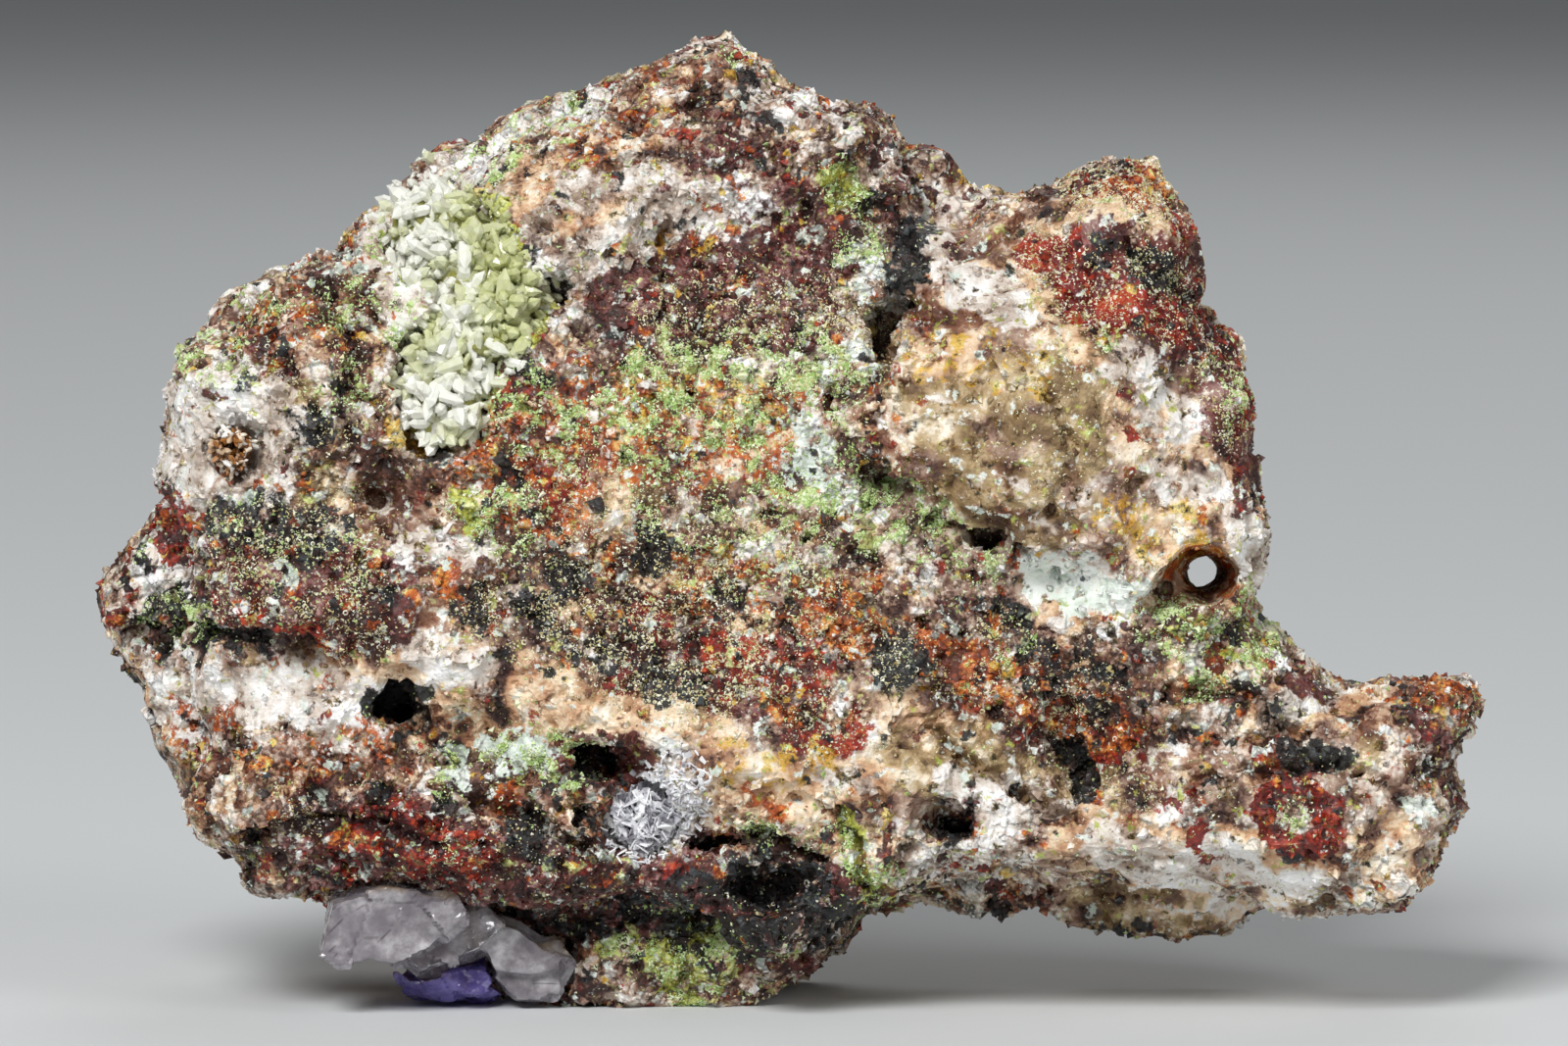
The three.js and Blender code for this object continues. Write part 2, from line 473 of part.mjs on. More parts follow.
function through(outline) {
  const prism = new THREE.ExtrudeGeometry(
    new THREE.Shape(outline.map(([u, v]) => new THREE.Vector2(u, v))), { depth: 80, bevelEnabled: false });
  return solidOf(prism.rotateX(Math.PI / 2).translate(0, 40, 0));
}

// The rock: front crust and rear mass in one, with its hollows, see-through holes and beds for crystals
function rock() {
  const face = pillow({
    outline: FACE_OUTLINE, pitch: FACE_PITCH, rings: FACE_RINGS, middle: crustMiddle,
    front: (u, v) => Math.max(1.2, faceAt(u, v) + crustMiddle(u, v)), back: () => 4.6,
    frontRim: { width: 2.4, keeps: 0.36 }, backRim: { width: 2.0, keeps: 0.75 },
  });
  const rearMiddle = () => 2.2;
  const keel = { at: [-4, 1], size: [15, 7], turn: 0, rise: 3.6 };
  const rear = pillow({
    outline: REAR_OUTLINE, pitch: REAR_PITCH, rings: REAR_RINGS, middle: rearMiddle,
    front: (u, v) => 3.6 + lumpAt(keel, u, v) + 0.6 * roughness(u, 20, v, 5),
    back: (u, v) => backAt(u, v) - 1,
    frontRim: { width: 2.0, keeps: 0.7 }, backRim: { width: 9, keeps: 0.34 },
  });
  const beds = [
    cleftSpace(),
    vugSpace(STAR_VUG),
    vugSpace(BLADE_VUG),
    underQuartz(NODE_GAP),
    fluoriteChunk(NODE_GAP),
  ];
  return joined([face, rear]).subtract(
    joined([...HOLLOWS.map(hollow), through(THROUGH_HOLE), through(ARCH_SLIT), ...beds]));
}

// Moves a solid from the seen layout to the part's frame and cuts off what lies under the flat spot
function stood(solid) {
  const ground = new THREE.BoxGeometry(200, 200, 100).translate(0, 0, 50);
  const moved = moveVertices(geometryOf(solid), (p) => real(p).sub(ORIGIN));
  return geometryOf(solidOf(moved).intersect(solidOf(ground)));
}

function piece(name, solid, color, roughnessValue) {
  const material = new THREE.MeshStandardMaterial({ color, roughness: roughnessValue, metalness: 0 });
  const mesh = new THREE.Mesh(stood(solid), material);
  mesh.name = name;
  return mesh;
}

const quartz = underQuartz(0);
const specimen = new THREE.Group();
specimen.add(
  piece('matrix_rock', rock(), 0x9c7f6c, 0.8),
  piece('cleft_quartz', cleftCrust(), 0xe3e6c4, 0.25),
  piece('star_vug_quartz', starVugCrust(), 0xb9793f, 0.3),
  piece('white_blades', bladeCrust(), 0xe9ecec, 0.6),
  piece('under_quartz', quartz, 0x8f8a8a, 0.2),
  piece('purple_fluorite', fluoriteChunk(0).subtract(underQuartz(NODE_GAP)), 0x5f4a96, 0.2),
);

export default specimen;
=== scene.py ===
import itertools
import math

import bmesh
import bpy
import numpy as np
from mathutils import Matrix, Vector


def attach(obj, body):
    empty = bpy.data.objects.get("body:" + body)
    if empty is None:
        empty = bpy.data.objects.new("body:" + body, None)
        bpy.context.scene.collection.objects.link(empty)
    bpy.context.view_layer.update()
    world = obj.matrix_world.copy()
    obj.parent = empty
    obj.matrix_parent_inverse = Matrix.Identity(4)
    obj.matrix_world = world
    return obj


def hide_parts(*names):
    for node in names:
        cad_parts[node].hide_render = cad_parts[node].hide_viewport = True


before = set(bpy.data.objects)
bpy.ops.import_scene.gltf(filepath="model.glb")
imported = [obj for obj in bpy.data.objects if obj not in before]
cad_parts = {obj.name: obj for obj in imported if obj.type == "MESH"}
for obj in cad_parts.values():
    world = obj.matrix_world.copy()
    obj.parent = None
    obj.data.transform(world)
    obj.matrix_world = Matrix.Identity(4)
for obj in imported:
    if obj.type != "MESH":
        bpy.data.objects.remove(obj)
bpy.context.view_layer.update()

bl_info = {
    "name": "Creaseyite Specimen",
    "version": (1, 0, 0),
    "blender": (4, 5, 0),
    "location": "View3D > Sidebar > Specimen",
    "description": "Dresses a vuggy creaseyite specimen: painted rock, crystal crusts, dust and stage",
    "category": "Object",
}

MM = 0.001

# The rock is laid out as the eye sees it: u to the right, v up and depth d away from the eye, in mm.
# These are the same values as in the part's source.
EYE_DISTANCE = 450.0
EYE_ELEVATION = math.radians(5)
EYE_V = 19.46
FLAT_SPOT = (-5.0, 1.0, 0.3)

# Width of the picture at the rock's middle and of the camera's sensor, in mm
PICTURE_WIDTH = 64.0
SENSOR_WIDTH = 36.0

# How much each crystal bends light
QUARTZ_IOR = 1.544
FLUORITE_IOR = 1.434

# The best side: how far behind the rock's middle it reaches, in mm, and how far its faces look at the eye
FRONT_DEPTH = 4.0
FRONT_FACING = 0.3

# How many crystals stand in each hollow, and how many on the rock round it
CLEFT_CRYSTALS = 560
CLEFT_FRINGE_CRYSTALS = 1500
STAR_VUG_CRYSTALS = 120
BLADES = 300
FRINGE_BLADES = 800

# Each softbox: its name, place and side length in metres, and the setting that holds its power
SOFTBOXES = [
    ("key", (-0.18, -0.47, 0.45), 0.26, "key"),
    ("fill", (0.42, -0.36, 0.34), 0.3, "fill"),
    ("back", (0.1, 0.5, 0.5), 0.4, "fill"),
]

# The upper part of the crystal-lined cleft, and the middle of the star-shaped vug, as (u, v)
CLEFT_PATH = [(-14.2, 31.4), (-12.9, 30.2), (-12.0, 28.8), (-12.6, 27.4), (-13.8, 25.8)]
STAR_VUG = (-22.5, 22.5)

# Where each mineral lies on the face: its half width in mm, how fully it covers, and the (u, v) points
# that it runs through. A few maroon and black strokes also paint shade, as marked
STROKES = {
    "brown": [
        (3.8, 0.8, (-21, 26.5), (-17.6, 28)), (1.6, 0.8, (9.4, 31.6), (14.6, 31.2)),
        (0.8, 0.9, (5.6, 28.4), (7.4, 27.8)), (0.8, 0.8, (9.6, 27.8), (11.2, 27.3)),
        (1.2, 0.8, (3.4, 24)), (1.8, 0.8, (-22.6, 9), (-18, 9.4)),
        (1.6, 0.8, (-20.8, 7.4), (-18.4, 7.2)), (1.1, 0.7, (-2.6, 10.6)),
        (1.3, 1, (4, 25.2), (4.9, 22.6)), (2.2, 0.9, (-18.6, 18.6), (-14.4, 16.8)),
        (1, 0.9, (16, 16), (17.2, 16.1)), (1.6, 1, (24.4, 12), (27.4, 12)), (1, 0.8, (26.4, 9.6)),
        (1.1, 0.8, (-2.4, 38), (-3.2, 38.2)), (0.8, 1, (-21.9, 5), (-19.4, 5.1)),
        (1.2, 0.9, (4.4, 4.2), (8, 3.8), (10.4, 3.6)), (3.2, 0.8, (-10, 22), (-4, 21)),
        (3.4, 0.8, (-8, 16.6), (2, 17.6)), (2.4, 0.7, (-15, 21), (-12, 17)),
        (2.6, 0.7, (8, 13), (14, 12)), (2.2, 0.7, (-8, 36), (-3, 37.6)),
        (1.6, 0.8, (6.4, 21.4), (9.4, 20.6)), (2.4, 0.7, (-16, 23.4), (-18, 21.2)),
        (2.2, 0.8, (-16, 9.6), (-11, 8.4)), (2, 0.8, (-7, 8.6), (-9, 9.2)),
        (1.6, 0.7, (16, 9.6), (20, 11)),
    ],
    "smoky": [
        (1.1, 0.9, (-18.9, 20.9)), (0.9, 0.8, (-19.4, 24.6)), (0.7, 0.7, (-19.4, 28.8)),
        (0.6, 0.9, (-21.4, 13.9), (-19.8, 13.4)), (2.2, 0.9, (11.8, 25), (11.4, 23.4)),
        (2, 0.9, (11.4, 22.6), (9, 24.6)), (1.4, 0.8, (12, 20.2)), (0.9, 0.7, (14.2, 21.6)),
        (2, 0.9, (8, 20.8), (11, 20)), (1.8, 0.8, (4.6, 10), (7.4, 9.6)), (0.9, 0.8, (18, 8.7)),
        (1, 0.8, (23.8, 10)), (0.6, 0.9, (20.6, 4.2), (23.2, 3.8)), (0.7, 0.8, (-12.2, 10.3)),
        (1, 0.7, (2.8, 35.6)), (1.4, 0.8, (13.4, 3.6), (17.6, 3.4)), (1.8, 0.8, (5, 25.6), (6.4, 23.6)),
        (1.4, 0.7, (8.6, 9), (13, 8.6)), (1.4, 0.7, (-16, 14.6)), (1.2, 0.8, (-6.4, 20.4)),
        (1.2, 0.7, (-14.6, 24)), (1.3, 0.7, (-8.6, 32.4)),
    ],
    "cream": [
        (1.6, 1, (-10, 12.4), (-7, 11.6), (-4.4, 11), (-3.2, 10.4)),
        (1.2, 1, (-1.6, 9), (1.6, 8.8), (3.6, 8.6)), (1, 0.9, (-14.6, 11.6), (-12, 11)),
        (0.9, 0.8, (-2.4, 8), (1.6, 7.6)), (0.8, 0.9, (3.4, 6.2), (6.4, 5.8)),
        (1.1, 0.8, (-10.6, 34.4), (-6.8, 34.8)), (1.6, 0.8, (-10, 32.6), (-6, 32)),
        (1.2, 0.9, (14.6, 19), (16, 18.4)), (1.2, 0.8, (7.2, 26.4), (5.6, 26)), (0.7, 0.8, (-7, 22.8)),
        (0.5, 0.7, (-4.5, 23.2)), (1, 0.6, (-6.9, 20.3)), (1.3, 0.7, (-1.2, 15.4)),
        (0.8, 0.8, (11.6, 15.9), (13.2, 15.6)), (0.9, 0.8, (22.8, 6.4)), (0.9, 0.9, (24.8, 6.8)),
        (1, 1.1, (-26.2, 12.8), (-25.4, 9.8), (-24, 6.9)), (2, 0.7, (14.6, 24), (18, 20.6)),
        (1.4, 0.8, (7, 29.6), (11, 28.8), (13, 26.6)), (1.5, 1, (12, 6.6), (20, 5.4), (26, 5.2)),
        (1.3, 1, (19.6, 12), (23, 12.4)), (1.2, 0.8, (11, 32.4), (15.4, 32.4)),
        (1, 1, (4, 5.4), (9, 5.2)), (1.4, 0.8, (-15.6, 14), (-12.6, 13)),
        (1.2, 0.8, (-18, 13), (-23, 12.6)), (1, 0.8, (19, 16.6), (18.8, 21)),
        (1.2, 0.7, (-0.4, 24), (-2.4, 22.4)), (1.1, 0.6, (2.4, 12), (6, 11.6)),
        (0.9, 0.7, (-16, 26.4), (-15, 24)), (0.9, 0.7, (15.6, 13.6), (19.6, 12.6)),
    ],
    "white": [
        (1.5, 1.2, (-24.8, 20.8), (-24.2, 23.1), (-23.2, 24.1), (-22, 24.7), (-21, 24), (-20.9, 22.9),
            (-21.4, 21.8)), (0.9, 0.9, (-24.6, 20.4), (-23.9, 19.4)),
        (1.2, 1, (-23.4, 12.6), (-21, 12.6), (-18.2, 12.3), (-16.6, 11.9)),
        (1.4, 0.8, (-25.6, 13.2), (-24.6, 11.4)), (1, 0.7, (-25.4, 17.8), (-25.2, 16.8)),
        (1.9, 0.85, (-5.6, 7.2), (-4.6, 8.6)), (1.3, 0.9, (-14.7, 26.6), (-14.6, 24.4)),
        (1.6, 1, (-14.8, 33), (-13.2, 32.4)), (1.3, 1, (-15.8, 31.4), (-15, 29.4), (-15, 27.6)),
        (1, 0.8, (-10.4, 30.6), (-9.8, 31.8)), (1.3, 1.1, (-5.2, 31.8), (-2, 32.4)),
        (1.3, 1, (-8.4, 30), (-6.6, 30.8)), (1, 0.8, (-8.6, 33), (-5, 33.4)), (0.7, 0.8, (-8.2, 28)),
        (0.9, 0.9, (0.2, 36.9), (1, 36.6)), (0.7, 0.7, (0, 35.2)),
        (1.2, 1, (6.8, 29.8), (8.2, 29), (9, 28.2)), (0.8, 0.9, (13.4, 26), (15.2, 25.6)),
        (1.1, 0.9, (15.2, 24.4), (16.2, 23.8)), (0.8, 0.7, (12.6, 21)),
        (0.8, 0.9, (19, 19.4), (19.2, 17.6)), (0.8, 0.8, (-15.2, 18.6), (-13.2, 18.2)),
        (0.6, 0.8, (-12.6, 18.6)), (0.6, 0.7, (-1.2, 18.3), (-0.6, 18)), (1, 0.9, (7, 8.8), (9.6, 8)),
        (1, 0.9, (12.6, 6.4), (15.6, 5.8), (18.6, 5.4)), (0.9, 0.7, (1.4, 9.4), (3.2, 9)),
        (0.6, 0.8, (16.2, 11.7), (17.2, 11.4)), (0.7, 0.8, (20.4, 13.9)), (0.8, 0.8, (25, 4.7)),
        (0.5, 0.7, (9.3, 14.5)), (1, 0.8, (-12.4, 34.6), (-9.6, 35.8), (-7.8, 36.8)),
        (0.5, 0.6, (21.4, 13)), (0.5, 0.6, (-18.4, 25.6), (-16.8, 24.2)),
        (1, 0.9, (-15.4, 14.4), (-12.4, 13.4)), (1, 1, (10.4, 17.6), (13, 16.8)),
        (0.8, 0.9, (19.8, 11.8), (22.4, 12.6)), (0.9, 0.9, (5, 5.6), (9, 5.8)),
        (0.8, 0.9, (19.6, 4.8), (23, 4.6)), (1.2, 0.7, (16, 21.4), (18.4, 20.8)),
        (0.8, 0.8, (-15.4, 18), (-13.4, 18)),
    ],
    "maroon": [
        (1.9, 1.3, (-6, 28.4), (-2, 29.6), (1.4, 31)), (1.6, 1.3, (-4.8, 27.4), (1, 28.2)),
        (1.1, 1, (0.6, 32.4), (2.2, 30)), (0.8, 1, (-2.2, 34.5)), (1.3, 0.7, (-2.2, 34.8)),
        (0.9, 0.7, (-0.8, 32.4), (0, 31.6)), (0.7, 1, (-21.8, 27.1)), (0.35, 1, (-19, 27.2)),
        (0.4, 1, (-18.2, 26.3)), (0.25, 1, (-16.8, 29.4)), (0.3, 0.9, (-23.1, 24.6)),
        (0.6, 0.7, (-17.3, 22.8)), (0.6, 1, (4.6, 33.6), (4.8, 31.8)),
        (0.5, 0.9, (6.6, 33.8), (7.3, 33.4)), (0.4, 1, (3.8, 36.2), (3.6, 34.4)),
        (0.4, 1, (1.6, 36.7), (3.2, 36.6)), (1.3, 0.8, (17.6, 25.4), (18.2, 23.4)),
        (0.4, 0.9, (18.9, 22.6), (19, 20)), (2.4, 0.7, (-21, 17.8), (-17, 16.2)),
        (1.6, 0.8, (-6.4, 15.4), (-4, 14.2), (-2.4, 13)),
        # Painted shade: the first stroke below darkens the underside under the lip, partly its real dark
        # red crust and partly painted shade
        (1.8, 1, (-18.4, 5.8), (-12, 5), (-8, 4.8), (-2, 4.2)), (1.4, 1, (-9, 4.6), (-4, 4.2), (2, 4.2)),
        (0.9, 0.9, (-1.2, 1.2), (1.2, 1)), (0.35, 0.9, (27.2, 8.8), (27.4, 6.6), (26.8, 5.2)),
        (0.6, 0.9, (25.6, 11.8), (26.6, 10.4)), (0.5, 1, (21.2, 13.4), (22, 12.7)),
        (0.9, 0.9, (-3.1, 6.7)), (2, 1, (-18.4, 6.6), (-13.6, 6.2)),
        (1.2, 1.1, (-8.6, 9.6), (-6.4, 9.6)), (2.2, 1.3, (-21.4, 17.8), (-16.8, 16.2)),
        (1.8, 1.3, (13, 29.8), (17, 28.8)), (0.9, 0.9, (12, 33.8), (15.6, 34)),
        (1.4, 0.9, (-6.4, 15.2), (-3, 13.4), (-1, 12.4)), (2.4, 0.85, (12.6, 29.4), (17, 27.6)),
        (1.4, 0.9, (17.6, 27), (19, 23.6)), (0.8, 0.8, (3, 2.6), (2, 1.4)),
        # Painted shade: the first stroke below darkens the underside under the lip, partly its real dark
        # red crust and partly painted shade
        (1.9, 1.4, (-12, 4.6), (-7, 3.9), (-2, 3.6)), (1.4, 0.7, (-13.4, 7.2), (-11.4, 5.2)),
        (0.8, 0.8, (6.9, 7.6), (6.2, 7.2)),
    ],
    "brick": [
        (0.7, 1, (9.8, 30.4), (11.6, 30.4)), (1.4, 1.2, (12.4, 28.8), (16.4, 28)),
        (1, 1, (16.6, 28.8), (18.4, 27), (19, 24.6)), (0.35, 1, (14.3, 22.9)), (0.3, 1, (13.9, 24.4)),
        (0.3, 1, (14.1, 21.5)), (0.3, 1, (18.4, 22.3)), (0.3, 1, (19.1, 21.6)), (0.25, 0.9, (7, 30.8)),
        (0.25, 0.9, (6.2, 29.1)), (0.8, 0.9, (12.2, 33.2), (15.4, 33.4)),
        (0.9, 0.9, (17.4, 30), (16.6, 32)), (0.7, 0.9, (-21.8, 15.9), (-19.4, 14.9)),
        (0.5, 0.9, (-18.4, 16.2), (-17.4, 16.2)), (0.4, 1, (-17.8, 14.4)),
        (1.4, 1.1, (-27, 19), (-25.2, 19.4)), (0.9, 1.1, (-27.4, 17), (-27.2, 15.4)),
        (0.7, 0.9, (-11.8, 24.8), (-10.2, 24.6)), (0.3, 1, (-11, 23.5)),
        (0.8, 0.9, (-10.6, 21.4), (-8.8, 21.4)), (0.6, 1, (-9.6, 20.5)), (0.5, 1, (-3, 15.6)),
        (0.5, 1, (-2.2, 12.6)), (0.5, 0.9, (-1.5, 13)), (0.9, 0.9, (0.4, 10.8), (2.6, 10.8)),
        (0.5, 0.9, (1, 15)), (0.35, 0.9, (7.6, 11.6)), (0.6, 1, (13.4, 11.4), (14, 10.6), (12.8, 9.8)),
        (0.9, 0.7, (9.8, 11)), (0.3, 0.9, (15.7, 8.1), (16.3, 7.8)), (0.5, 1, (17.2, 6.9), (17.1, 6.2)),
        (0.4, 0.9, (19.1, 9.9)),
        (0.6, 1, (20.9, 8.9), (22, 8.3), (22.1, 7.2), (21.6, 6.3), (19.8, 7), (19.8, 8.2), (20.9, 8.9)),
        (0.5, 0.9, (-18.9, 8.8)), (0.5, 0.9, (-19.2, 8.1)),
        (1.1, 1.2, (-18, 6.6), (-15.9, 7), (-12.8, 5.6)), (0.6, 0.9, (-18, 5.3), (-17.4, 5.2)),
        (0.6, 0.9, (-15.2, 5.3)), (0.7, 0.9, (-8.2, 5.8)), (0.8, 0.8, (-4.6, 4.9)),
        (0.3, 1, (-20.5, 25.4)), (0.3, 0.9, (-18.9, 11.8)), (1.2, 0.9, (-3, 14.6), (1.4, 13.2)),
        (0.8, 1, (-6.4, 13.2), (-5.2, 15.8)),
    ],
    "rust": [
        (0.4, 1, (-16.4, 17.6)), (0.7, 1, (-13.4, 16.9)), (0.3, 0.9, (-19.4, 21.2)),
        (0.5, 0.9, (-23, 22.4), (-22.4, 21.4)), (0.5, 1, (-6, 24.9)), (0.5, 0.9, (-8, 23.2), (-7.6, 22)),
        (0.4, 0.9, (-12.2, 23.6)), (0.35, 0.9, (-6, 21.3)), (0.3, 0.8, (-2.7, 23.6)),
        (0.3, 0.8, (0, 20.9)), (0.5, 1, (-4.5, 18)), (0.5, 1, (-1.4, 17.4)), (0.4, 1, (-7.2, 18.4)),
        (0.4, 1, (-7.1, 17.1)), (0.5, 0.8, (2.3, 16.6)), (0.5, 1, (-6.5, 15.4)),
        (1.2, 0.8, (1.6, 16), (3.2, 14.8)), (0.5, 0.8, (-0.6, 12.2), (0, 11.7)), (0.6, 0.7, (-11.8, 15)),
        (0.5, 1, (-11.1, 8.3)), (0.4, 0.8, (-7.4, 7.6)), (0.4, 1, (-1.4, 8.2), (0, 7.9)),
        (0.4, 0.9, (17.2, 19.5)), (0.35, 0.9, (16.2, 17.4), (16.6, 18.2), (17.6, 18.2), (18.2, 17)),
        (0.3, 0.9, (-2.2, 39.1)), (0.3, 0.8, (-5.6, 38), (-4.6, 38.3)),
        (0.8, 0.8, (26.2, 12.6), (27.6, 12.4)), (0.3, 1, (-23.4, 11)), (0.3, 1, (-22.1, 10.3)),
        (0.35, 0.9, (-21.4, 9.6)), (0.4, 0.8, (9.4, 17.8)), (1, 1, (6.3, 14.2), (8.3, 13.4)),
        (0.5, 0.9, (5.4, 15.2)), (2.6, 0.62, (-11, 23.6), (-6, 23.2), (0, 23.4)),
        (2, 0.6, (-12, 21.6), (-9, 19.6)), (1.6, 0.6, (-4, 17.4), (0, 16.4)),
        (1.4, 0.8, (8.6, 13.2), (13.4, 11.2)), (1.2, 0.6, (-22, 27.8), (-19, 28)),
        (1.4, 0.55, (-20, 9.8), (-16.4, 10.4)), (0.9, 0.6, (2, 33.4), (3, 32.6)),
        (0.8, 0.6, (-24.6, 10.6), (-22.6, 11.6)), (0.6, 0.7, (13, 33.7), (16, 32.8)),
        (1, 0.55, (-8.6, 34.6), (-5, 36.4)),
    ],
    "ochre": [
        (0.6, 1.3, (-15.8, 23.3), (-14.4, 22.9)), (0.3, 1, (-4.9, 31)), (0.5, 0.9, (-2.5, 17.9)),
        (0.3, 0.9, (-2.6, 13.4)), (0.6, 0.7, (6.8, 27)), (0.3, 0.8, (-16.4, 11.2)),
        (0.4, 0.8, (2.4, 33.4)), (0.5, 0.6, (-26, 12.4)), (0.3, 0.8, (13, 26.8)),
        (1.6, 0.5, (6, 26.2), (9.6, 25.6)), (1.4, 0.5, (13.4, 19.4), (16.6, 19)),
        (1, 0.5, (1, 9.6), (-2, 9.6)), (1.4, 0.5, (-6, 24.4), (-1, 24.2)),
    ],
    "lime": [
        (0.8, 0.8, (-12.2, 32.2)), (0.7, 0.8, (-11.4, 31.1)), (1, 0.9, (-11.8, 29), (-10.6, 27.9)),
        (0.7, 0.8, (2, 33.2), (2.8, 32.6)), (0.6, 0.9, (-13, 20.6), (-12.6, 19.6)), (0.7, 1, (2.8, 6.8)),
        (0.6, 1, (-4.2, 1), (-4, 0.4)), (1.6, 0.7, (-5.2, 1.9), (-3, 1.6)), (0.3, 1, (12.6, 17.2)),
        (0.9, 0.7, (3, 5.6), (3.6, 4.2)), (1.2, 0.5, (16.4, 15), (18.6, 14.4)),
    ],
    "powder": [
        (0.9, 0.9, (1.4, 22.6), (1, 23.8)), (0.7, 0.9, (1.9, 25.8)), (0.8, 0.9, (1, 21.8), (2.2, 21)),
        (0.6, 0.8, (3, 26.2)), (0.8, 0.7, (3.4, 30.4), (3.8, 29.4)), (1, 1, (10.6, 17.4), (13.6, 16.6)),
        (0.7, 0.7, (-20.6, 17.4)), (0.5, 0.8, (-21.8, 20.4)), (0.9, 0.9, (-13.6, 9.6)),
        (1, 0.85, (-11.6, 10.6), (-10.4, 9.9)), (0.5, 0.8, (-18, 30.4), (-17.4, 30.2)),
        (0.6, 0.8, (25.9, 7.7)), (0.6, 0.8, (-8.6, 36.6)),
    ],
    "black": [
        (1.1, 0.8, (-22.2, 19.8), (-19, 19)), (0.6, 1, (-8.4, 9.4), (-7.2, 9.8)),
        # Painted shadow: the last two strokes on the next line darken the band under the crust's lower
        # edge, partly real black and partly painted shadow
        (1, 0.8, (-4, 2.7), (-1, 2.8), (2.2, 3.2)), (0.5, 0.8, (-10, 3.4), (-4, 3)),
        (1.1, 0.7, (-7.4, 14.6), (-4.6, 13.2)), (0.8, 0.85, (-9.4, 17.8), (-8.6, 17)),
        (0.6, 0.9, (-2.4, 16.8), (-1.8, 16.4)), (0.9, 1.2, (-16.5, 11.9), (-15.4, 12.1)),
        (0.8, 0.8, (8.4, 16.2), (9.6, 15.6)), (0.7, 0.8, (-12.8, 16.2), (-12.2, 15.4)),
        (0.9, 1, (-19.1, 23.3)), (0.5, 1, (-14.1, 22.1)), (0.5, 0.9, (-22.4, 25.4)),
        (0.8, 1, (-20.7, 19.6)), (0.5, 0.9, (-23, 20.2), (-22.8, 19.4)),
        (0.7, 0.8, (-19.2, 19.2), (-18.2, 19)), (0.6, 0.7, (-15.8, 16.4)),
        (1.1, 0.9, (-24.8, 15.6), (-23.8, 15)), (0.5, 1, (-9, 29)), (0.4, 1, (-9.7, 29.2)),
        (0.6, 1, (-0.8, 36.2)), (0.5, 0.7, (-2.1, 36.2)), (0.8, 1, (3.6, 32.1)),
        (0.8, 1, (5.2, 31.4), (4.8, 29.8)), (0.9, 0.7, (12.9, 30.4)),
        (0.8, 0.9, (14.8, 30), (15.8, 29.4)), (0.5, 1, (14.6, 27.6)),
        (0.4, 0.9, (12.6, 34.3), (15, 34.3)), (0.4, 1, (-10.8, 20.9)), (0.4, 0.9, (-11.3, 21.8)),
        (0.4, 0.9, (-10.3, 20)), (0.4, 0.9, (-7.8, 20)), (0.8, 1, (-5.6, 19), (-5.6, 17.8)),
        (0.3, 0.9, (-4.6, 18.6)), (0.5, 0.9, (-10.6, 16.6)), (0.7, 0.9, (-10.8, 26), (-10, 25.2)),
        (1, 0.8, (-5.4, 13.4), (-3.8, 12.6)), (0.8, 0.7, (-10, 16), (-9.2, 15.2)),
        (0.35, 0.9, (-10, 13.2)), (0.3, 0.8, (-11.6, 12.4)), (1, 1, (4.4, 14), (5.2, 13.6)),
        (0.25, 0.9, (0.6, 14.4)), (1.8, 0.65, (11, 13.6), (13, 12.8)), (0.4, 1, (10.2, 14.4)),
        (0.8, 1, (11.8, 10.2), (12.2, 8.6)), (0.35, 0.8, (15.6, 11), (18, 10.8)),
        (0.5, 0.7, (18.2, 12.6), (20.2, 12.2)), (0.6, 0.9, (20.6, 10.2), (22.8, 9.8)),
        (0.3, 1, (22.4, 9.3)), (0.5, 1, (20.5, 6.2)), (0.6, 1, (-16.4, 8.3)), (0.6, 0.9, (-13.8, 8.2)),
        (0.9, 1, (-10.6, 6.8)), (0.5, 0.9, (-9.5, 8.3)), (0.5, 0.9, (-8.1, 7.3)),
        (0.35, 1, (-18.3, 10.3)), (1.2, 1, (-1.2, 4.7), (0.6, 4.5)), (0.5, 0.9, (0.9, 2.8)),
        # Painted shade: the first stroke below fills the hollow at (6.9, 7.3) with black, for the shade in
        # its depth
        (0.6, 1, (6.6, 6.9), (7.2, 7.6)), (0.4, 0.9, (-23.2, 15.1), (-21.4, 14.7)),
        (0.5, 0.8, (-6, 4.2), (-2.4, 4.4)), (0.7, 0.9, (3.6, 3), (10, 2.8), (18, 2.8)),
        (0.6, 0.7, (-11, 7), (-9.8, 5.8)),
    ],
}

